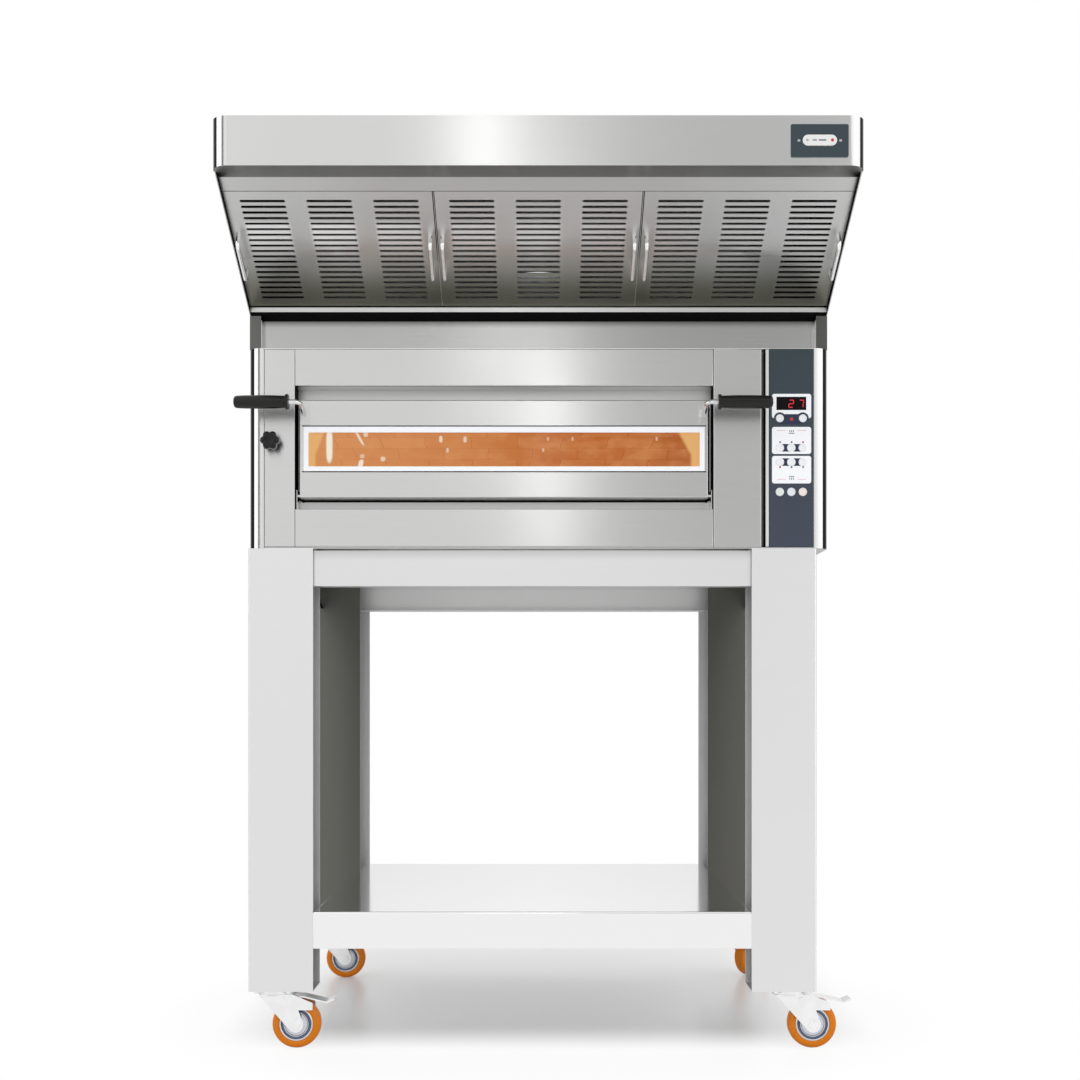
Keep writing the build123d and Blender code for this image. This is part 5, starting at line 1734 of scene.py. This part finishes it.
@dataclass
class Door:
    """Drop-down door with its window, hinges, bent arms and grips."""

    frame: dict
    finishes: Finishes
    fold: float = 0.0025
    joint_height: float = 0.0020
    joint_overlap: float = 0.003
    foot_thickness: float = 0.0035
    grip_length: float = 0.1095
    pane_inset: float = 0.010

    def build_grips(self) -> None:
        """Turn the two grips, each with a collar, a waist and a domed end."""
        low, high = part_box("handle_grips")
        middle = (low + high) / 2
        collar = (high.z - low.z) / 2
        length = self.grip_length
        profile = [(0.0, 0.006), (0.0, collar - 0.0012), (0.0010, collar), (0.0054, collar),
                   (0.0064, collar - 0.0010), (0.0066, 0.0121), (0.0080, 0.0124),
                   (0.030, 0.0133), (0.058, 0.0135), (0.085, 0.0132), (0.102, 0.0125),
                   (0.1055, 0.0118), (0.1078, 0.0102), (0.1090, 0.0075), (length, 0.0035),
                   (length, 0.0004)]
        pieces = []
        for side in (-1, 1):
            end = low.x if side < 0 else high.x
            base = Vector((end - side * length, middle.y, middle.z))
            grip = turned("grip", profile, base, Vector((side, 0, 0)), 48)
            smooth(grip, 40.0)
            dress(grip, self.finishes.grip)
            pieces.append(grip)
        finish_piece(joined("grips", pieces), "door", "grip", "handle_grips")

    def build_joints(self) -> None:
        """Dark lines where the window trim meets the tray, above and below it."""
        low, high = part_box("window_trim")
        size = (high.x - low.x + 2 * self.joint_overlap, self.joint_height)
        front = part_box("door_panel")[0].y
        lines = []
        for edge, way in ((high.z, 1), (low.z, -1)):
            middle = Vector(((low.x + high.x) / 2, front, edge + way * self.joint_height / 2))
            line = plate("joint", size, self.joint_height * 0.45, 0.0003, middle, steps=3)
            dress(line, self.finishes.seal)
            lines.append(line)
        finish_piece(joined("trim_joints", lines), "door", "gland")

    def build(self) -> None:
        """Build the door's pieces."""
        done = self.finishes
        folds = [Fold(self.fold, Facing.FORWARD)]
        sheet_metal(self.frame, "door_panel", "door_tray", "door", done.front_steel, "steel", folds,
                    0.0003)
        sheet_metal(self.frame, "door_liner", "door_inner_plate", "door", done.side_steel, "steel",
                    eased=0.0005)
        sheet_metal(self.frame, "window_trim", "window_frame", "door", done.trim, "trim",
                    eased=0.0008)
        sheet_metal(self.frame, "door_hinges", "hinges", "root", done.chrome, "polished",
                    eased=0.0005)
        arms = sheet_metal(self.frame, "handle_arms", "arms", "door", done.chrome, "polished",
                           eased=0.0004)
        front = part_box("door_panel")[0].y - self.foot_thickness
        refinish(arms, done.front_steel,
                 lambda face: looks(face, Facing.FORWARD, 0.99) and face.center.y > front)
        low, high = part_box("window_trim")
        inset = self.pane_inset
        pane = OvenGlass(
            "lit_glass", low.x + inset, high.x - inset, low.z + inset, high.z - inset).make()
        panes = sheet_metal(self.frame, "door_glass", "window_panes", "door", pane, "glass",
                            eased=0.0003)
        panes.data.materials.append(done.clear)
        self.build_grips()
        self.build_joints()


# Controls

@dataclass
class Controls:
    """Control film, display, printed marks and round keys."""

    frame: dict
    finishes: Finishes
    datum: Datum
    display_top: float = 1338.5
    display_bottom: float = 1289.0
    field_left: float = 474.0
    field_right: float = 553.6
    upper_field: tuple[float, float] = (1216.6, 1271.4)
    lower_field: tuple[float, float] = (1156.7, 1212.5)
    film_front: float = -1.0
    proud: float = 0.15
    column_step: float = 23.3
    digit_height: float = 1318.5
    digit_slant: float = 0.14

    def flat(self, x: float, z: float) -> tuple[float, float]:
        """A place on the film as X and Z of the part's frame."""
        spot = self.datum.place(x, self.film_front, z)
        return spot.x, spot.z

    def field(self, left: float, right: float, bottom: float, top: float,
              corner: float) -> PrintedLabel:
        """A rounded field between four edges, in millimetres.

        Args:
            left: X of its left edge.
            right: X of its right edge.
            bottom: Z of its lower edge.
            top: Z of its upper edge.
            corner: radius of its corners.

        Returns:
            The field, in metres of the part's frame.
        """
        return PrintedLabel(
            self.flat((left + right) / 2, (bottom + top) / 2),
            ((right - left) / 2 * MM, (top - bottom) / 2 * MM), corner * MM)

    def key_spot(self, name: str) -> Vector:
        """Middle of a key's front face."""
        low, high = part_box(name)
        return Vector(((low.x + high.x) / 2, low.y, (low.z + high.z) / 2))

    def film(self) -> bpy.types.Material:
        """The film's printed finish."""
        low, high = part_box("control_panel")
        keys = [self.key_spot(f"key_display_{side}") for side in ("left", "right")]
        left, right = self.field_left, self.field_right
        fields = [
            self.field(left, right, self.display_bottom, self.display_top, 5.0),
            self.field(left, right, *self.upper_field, 5.0),
            self.field(left, right, *self.lower_field, 5.0),
        ]
        knockouts = [(spot.x, spot.z, 0.0122) for spot in keys]
        middle = (keys[0] + keys[1]) / 2
        gap = PrintedLabel((middle.x, middle.z - 0.002), (keys[1].x - middle.x, 0.0105), 0.001)
        bands, rings = [gap], []
        for row in ("upper", "lower"):
            spots = [self.key_spot(f"key_{row}_{column}") for column in (1, 2, 3)]
            for first, second in zip(spots, spots[1:]):
                centre = (first + second) / 2
                bands.append(PrintedLabel(
                    (centre.x, centre.z), (second.x - centre.x, 0.0078), 0.0003))
            rings += [(spot.x, spot.z, 0.0086) for spot in spots]
        return ControlFilm(
            "control_film", low.z, high.z, tuple(fields), tuple(rings), tuple(bands),
            tuple(knockouts)).make()

    def mark(self, x: float, z: float, width: float, height: float, material: bpy.types.Material,
             round_corner: float = 0.0) -> bpy.types.Object:
        """Small printed mark that stands slightly off the film.

        Args:
            x: its middle across, in millimetres.
            z: its height, in millimetres.
            width: its width, in millimetres.
            height: its own height, in millimetres.
            material: its ink.
            round_corner: radius of its corners, in millimetres.

        Returns:
            The mark.
        """
        piece = plate("mark", (width * MM, height * MM), round_corner * MM, self.proud * MM,
                      self.datum.place(x, self.film_front, z), steps=4)
        dress(piece, material)
        return piece

    def icon(self, x: float, z: float, rising: bool) -> list[bpy.types.Object]:
        """Generic heat mark: a deck line with three short strokes.

        Args:
            x: its middle across, in millimetres.
            z: its height, in millimetres.
            rising: True puts the strokes above the line, False below it.

        Returns:
            Its four marks.
        """
        ink = self.finishes.grey_ink
        way = 1 if rising else -1
        strokes = [self.mark(x + offset, z + way * 1.0, 1.5, 5.2, ink, 0.6)
                   for offset in (-3.6, 0, 3.6)]
        return strokes + [self.mark(x, z - way * 3.6, 11.5, 1.5, ink, 0.6)]

    def build_marks(self) -> None:
        """Marks on the film: lamps, icons and fine lines."""
        done, middle = self.finishes, (self.field_left + self.field_right) / 2
        columns = (middle - self.column_step, middle, middle + self.column_step)
        pieces = []
        for row, lit in ((1240.5, 2), (1189.8, 0)):
            for index, x in enumerate(columns):
                ink = done.red_ink if index == lit else done.grey_ink
                pieces.append(self.mark(x, row, 3.4, 4.2, ink, 1.2))
        pieces += self.icon(middle, 1262.0, True) + self.icon(middle, 1167.5, False)
        for z in (1264.5, 1165.0):
            for x in (middle - 21.0, middle + 21.0):
                pieces.append(self.mark(x, z, 18.0, 0.9, done.pink_ink))
        pieces.append(self.mark(middle, 1287.2, 7.0, 6.4, done.red_ink, 2.6))
        finish_piece(joined("panel_marks", pieces), "root", "control")

    def build_display(self) -> None:
        """Dark window with its lit digits."""
        dress(self.frame["nodes"]["display_window"], self.finishes.display)
        segments = {2: "abged", 7: "abc"}
        width, height, thick = 8.4, 14.6, 1.8
        spots = {
            "a": (0, height / 2, width, thick), "g": (0, 0, width, thick),
            "d": (0, -height / 2, width, thick),
            "f": (-width / 2, height / 4, thick, height / 2),
            "b": (width / 2, height / 4, thick, height / 2),
            "e": (-width / 2, -height / 4, thick, height / 2),
            "c": (width / 2, -height / 4, thick, height / 2),
        }
        pieces = []
        for digit, centre in ((2, 513.0), (7, 533.5)):
            for letter in segments[digit]:
                x, z, across, up = spots[letter]
                pieces.append(self.mark(
                    centre + x + z * self.digit_slant, self.digit_height + z, across, up,
                    self.finishes.lit_red, 0.8))
        digits = joined("lit_digits", pieces)
        finish_piece(digits, "root", "display")

    def build_keys(self) -> None:
        """Round keys with a raised rim, copied from one model for each radius."""
        done = self.finishes
        special = {f"key_base_{index + 1}": tint for index, tint in enumerate(done.base_keys)}
        names = [node for node in self.frame["nodes"] if node.startswith("key_")]
        models: dict[float, bpy.types.Object] = {}
        for name in sorted(names):
            low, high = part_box(name)
            radius = round((high.x - low.x) / 2 - 0.0015, 4)
            depth = high.y - low.y
            base = Vector(((low.x + high.x) / 2, high.y, (low.z + high.z) / 2))
            if radius not in models:
                profile = [(0.0, radius + 0.0014), (0.0015, radius + 0.0014), (0.0015, radius),
                           (depth - 0.0012, radius), (depth - 0.0004, radius - 0.0003),
                           (depth, radius - 0.0010), (depth, radius - 0.0016),
                           (depth - 0.0005, radius - 0.0022), (depth - 0.0006, radius * 0.45),
                           (depth - 0.0004, radius * 0.2), (depth - 0.0004, 0.0001)]
                model = turned("key_model", profile, Vector((0, 0, 0)), FRONT, 48)
                smooth(model, 40.0)
                models[radius] = model
            cap = moved_copy(models[radius], name.replace("key_", "cap_"), base)
            dress(cap, special.get(name, done.key))
            finish_piece(cap, name, "key", name)
        for model in models.values():
            bpy.data.objects.remove(model)

    def build(self) -> None:
        """Build the control panel."""
        sheet_metal(self.frame, "control_panel", "control_film", "root", self.film(), "control",
                    eased=0.0006)
        self.build_display()
        self.build_marks()
        self.build_keys()


# Hood

@dataclass
class Hood:
    """Canopy, front band, gutter, filters and the blower."""

    frame: dict
    finishes: Finishes
    band_fold: float = 0.007
    foot_top: float = 1.53
    underside_top: float = 1.70
    lip_height: float = 0.012
    inner_side: float = 0.4
    level: float = 0.97
    gutter_slope: float = 0.7
    border_tilt: tuple[float, float] = (0.3, 0.2)
    handle_gap: float = 0.0012

    def stands_off(self, panel: bpy.types.Object) -> Callable[[bpy.types.MeshPolygon], bool]:
        """Test for the faces of a filter that stand off its sheet, which are its handles.

        Args:
            panel: the filter.

        Returns:
            The test, which takes one of its faces.
        """
        sheet = max(panel.data.polygons, key=lambda face: face.area * (face.normal.y < 0))
        middle, outward = sheet.center.copy(), sheet.normal.copy()
        return lambda face: (face.center - middle).dot(outward) > self.handle_gap

    def build(self) -> None:
        """Build the hood's sheet metal and dress its inner pieces."""
        done = self.finishes
        canopy = sheet_metal(self.frame, "hood_canopy", "canopy", "root", done.lit_steel, "steel",
                             eased=0.0004)
        # Painted shade: the canopy's low forward faces take the darkest steel.
        refinish(canopy, done.deep_shade_steel,
                 lambda face: looks(face, Facing.FORWARD) and face.center.z < self.foot_top)
        # Painted dark reflection: the side plates' inner faces take the black seal finish.
        refinish(canopy, done.seal,
                 lambda face: face.normal.x * face.center.x < -self.inner_side)
        refinish(canopy, done.shaded_steel,
                 lambda face: looks(face, Facing.DOWN, self.level)
                 and face.center.z < self.underside_top)
        # Painted shade: the filter border takes a darker copy of the steel.
        refinish(canopy, done.border_shade_steel,
                 lambda face: looks(face, Facing.FORWARD, self.border_tilt[0])
                 and looks(face, Facing.DOWN, self.border_tilt[1]))
        band = sheet_metal(self.frame, "hood_front_band", "front_band", "root", done.band_steel,
                           "steel", [Fold(self.band_fold, Facing.DOWN)], 0.0006)
        # Painted shade on the band's underside.
        refinish(band, done.deep_shade_steel, lambda face: looks(face, Facing.DOWN, self.level))
        # The gutter panel takes a darker copy of the steel, a painted shade.
        gutter = sheet_metal(self.frame, "hood_lower_panel", "gutter_panel", "root",
                             done.panel_shade_steel, "steel", eased=0.0004)
        # Painted shade: the gutter's sloping underside takes the black seal finish.
        refinish(gutter, done.seal,
                 lambda face: self.gutter_slope < -face.normal.z < self.level)
        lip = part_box("hood_lower_panel")[1].z - self.lip_height
        # Painted light: the gutter lip takes the lighter steel.
        refinish(gutter, done.lit_steel,
                 lambda face: looks(face, Facing.FORWARD) and face.center.z > lip)
        for side in ("left", "centre", "right"):
            panel = sheet_metal(self.frame, f"filter_{side}", f"grease_filter_{side}",
                                f"filter_{side}", done.filter_steel, "steel", eased=0.0003)
            refinish(panel, done.wire, self.stands_off(panel))
        for node in ("blower_housing", "blower_impeller"):
            dress(self.frame["nodes"][node], done.galvanised)


@dataclass
class HoodSwitch:
    """Dark plate in a pale frame, with its white rocker."""

    frame: dict
    finishes: Finishes
    datum: Datum
    frame_width: float = 0.0055
    frame_thickness: float = 0.0012

    def build_frame(self) -> None:
        """Thin pale frame round the plate."""
        low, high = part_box("hood_control_plate")
        middle = (low + high) / 2
        border = self.frame_width
        size = (high.x - low.x + 2 * border, high.z - low.z + 2 * border)
        bezel = plate("switch_frame", size, 0.004, self.frame_thickness,
                      Vector((middle.x, high.y, middle.z)), 5, 0.0004, border)
        smooth(bezel)
        dress(bezel, self.finishes.front_steel)
        finish_piece(bezel, "root", "steel")

    def build_rocker(self) -> None:
        """Softly rounded rocker with a grey and a red dot."""
        low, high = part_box("hood_switch")
        middle = (low + high) / 2
        size = (high.x - low.x, high.z - low.z)
        rocker = plate("rocker_body", size, size[1] / 2 - 0.0001, high.y - low.y,
                       Vector((middle.x, high.y, middle.z)), steps=12, eased=0.0012)
        smooth(rocker, 40.0)
        dress(rocker, self.finishes.rocker)
        marks = []
        for offset, width, height, ink in (
                (-0.0225, 0.0050, 0.0044, self.finishes.pale_ink),
                (0.0225, 0.0056, 0.0056, self.finishes.red_ink),
                (-0.0095, 0.0080, 0.0022, self.finishes.grey_ink),
                (0.0045, 0.0140, 0.0026, self.finishes.grey_ink)):
            mark = plate("rocker_mark", (width, height), height / 2.2, 0.00015,
                         Vector((middle.x + offset, low.y, middle.z)), steps=5)
            dress(mark, ink)
            marks.append(mark)
        finish_piece(joined("rocker", [rocker] + marks), "hood_switch", "rocker", "hood_switch")

    def build_plate(self) -> None:
        """Slate plate with a pale mark at each end of the rocker."""
        low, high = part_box("hood_control_plate")
        film = ControlFilm("switch_film", low.z, high.z, (), (), (), (),
                           upper=colour(46, 58, 66), lower=colour(46, 60, 66)).make()
        sheet_metal(self.frame, "hood_control_plate", "switch_plate", "root", film, "control",
                    eased=0.0005)
        middle = (low + high) / 2
        marks = []
        for offset in (-0.0375, 0.0375):
            mark = plate("plate_mark", (0.0052, 0.0040), 0.0016, 0.00015,
                         Vector((middle.x + offset, low.y, middle.z)), steps=4)
            dress(mark, self.finishes.pale_ink)
            marks.append(mark)
        finish_piece(joined("switch_marks", marks), "root", "control")

    def build(self) -> None:
        """Build the hood's switch."""
        self.build_frame()
        self.build_plate()
        self.build_rocker()


# Studio

@dataclass
class Studio:
    """Floor, camera, lamps and the white room round the object."""

    datum: Datum
    image: int = 1080
    distance_mm: float = 3200.0
    camera_x_mm: float = 3.0
    camera_z_mm: float = 717.0
    horizon_px: float = 700.0
    scale_px_per_mm: float = 0.4924
    sensor: float = 36.0

    def build_camera(self) -> None:
        """Level camera of the photograph."""
        data = bpy.data.cameras.new("camera")
        data.sensor_width = self.sensor
        data.lens = self.scale_px_per_mm * self.distance_mm / self.image * self.sensor
        data.shift_y = (self.horizon_px - self.image / 2) / self.image
        camera = bpy.data.objects.new("camera", data)
        camera.location = self.datum.place(self.camera_x_mm, -self.distance_mm, self.camera_z_mm)
        camera.rotation_euler = (math.pi / 2, 0, 0)
        bpy.context.collection.objects.link(camera)
        bpy.context.scene.camera = camera

    def build_floor(self) -> None:
        """Wide pale floor."""
        bpy.ops.object.select_all(action="DESELECT")
        bpy.ops.mesh.primitive_plane_add(size=30.0, location=(0, 0, 0))
        floor = bpy.context.object
        floor.name = "floor"
        dress(floor, StudioFloor().make())

    def soft_box(self, name: str, place: Point, aim: Point, size: tuple[float, float],
                 power: float) -> None:
        """Rectangular lamp at a place, aimed at a point.

        Args:
            name: name of the lamp.
            place: its middle, in metres.
            aim: the point that it faces.
            size: its width and height, in metres.
            power: its power, in watts.
        """
        data = bpy.data.lights.new(name, "AREA")
        data.shape = "RECTANGLE"
        data.size, data.size_y = size
        data.energy = power
        lamp = bpy.data.objects.new(name, data)
        lamp.location = place
        lamp.rotation_euler = (Vector(aim) - Vector(place)).to_track_quat("-Z", "Y").to_euler()
        bpy.context.collection.objects.link(lamp)

    def build_lamps(self) -> None:
        """Two tall strips behind the camera, the upper one further to the left."""
        self.soft_box("low_strip", (0.03, -4.1, 1.88), (0.03, 0.0, 1.88), (0.16, 0.96), 1.2)
        self.soft_box("high_strip", (-0.24, -4.1, 2.86), (-0.24, 0.0, 2.86), (0.20, 1.0), 1.15)

    def build_room(self) -> None:
        """White room for the camera; for the metal, soft walls with dark gaps between them."""
        world = bpy.data.worlds.new("studio")
        world.use_nodes = True
        bpy.context.scene.world = world
        tree = ShaderTree(world.node_tree)
        x, y, z = tree.axes(tree.coordinates("Generated"))
        turn = tree.maths("ARCTAN2", x * -1.0, y * -1.0) / (2 * math.pi) + 0.5
        def at(degrees: float) -> float:
            """Place on the ramp of a bearing, in degrees from the front to the left."""
            return degrees / 360 + 0.5
        walls = tree.ramp(turn, [
            (at(-180), 1.0), (at(-150), 0.75), (at(-112), 0.40), (at(-96), 0.30),
            (at(-88), 1.8), (at(-52), 1.8), (at(-22), 1.3), (at(-15), 0.8), (at(-11), 0.62),
            (at(-3.5), 0.64), (at(-0.5), 0.82), (at(2.5), 0.98), (at(11), 1.02), (at(16), 1.2),
            (at(33), 1.2), (at(36.5), 0.15), (at(49), 0.15), (at(52), 2.0), (at(88), 2.0),
            (at(96), 0.30), (at(112), 0.40), (at(150), 0.75), (at(180), 1.0)])
        dusk = 1.0 - z.step(0.19, 0.08) * 0.15
        level = tree.axes(walls)[0] * dusk
        room = tree.mix(z.step(0.35, 0.75), level, (1.1, 1.1, 1.1))
        seen = tree.add("ShaderNodeLightPath", {}, {}, "Is Camera Ray")
        tone = tree.mix(seen, room, (1.0, 1.0, 1.0))
        background = tree.add("ShaderNodeBackground", {}, {"Color": tone, "Strength": 1.0})
        tree.add_output(background, "ShaderNodeOutputWorld")

    def build(self) -> None:
        """Build the studio."""
        bpy.context.scene.view_settings.view_transform = "Standard"
        self.build_camera()
        self.build_floor()
        self.build_lamps()
        self.build_room()


def main() -> None:
    """Build every piece round the frame."""
    logging.basicConfig(level=logging.INFO, format="%(message)s")
    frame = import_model()
    datum = Datum()
    finishes = Finishes()
    Stand(frame, finishes).build()
    for place in ("front_left", "front_right", "rear_left", "rear_right"):
        Castor(frame, finishes, place, place.startswith("front")).build()
    OvenBody(frame, finishes).build()
    VentKnob(frame, finishes).build()
    Door(frame, finishes).build()
    Controls(frame, finishes, datum).build()
    Hood(frame, finishes).build()
    HoodSwitch(frame, finishes, datum).build()
    Studio(datum).build()


if __name__ == "__main__":
    main()
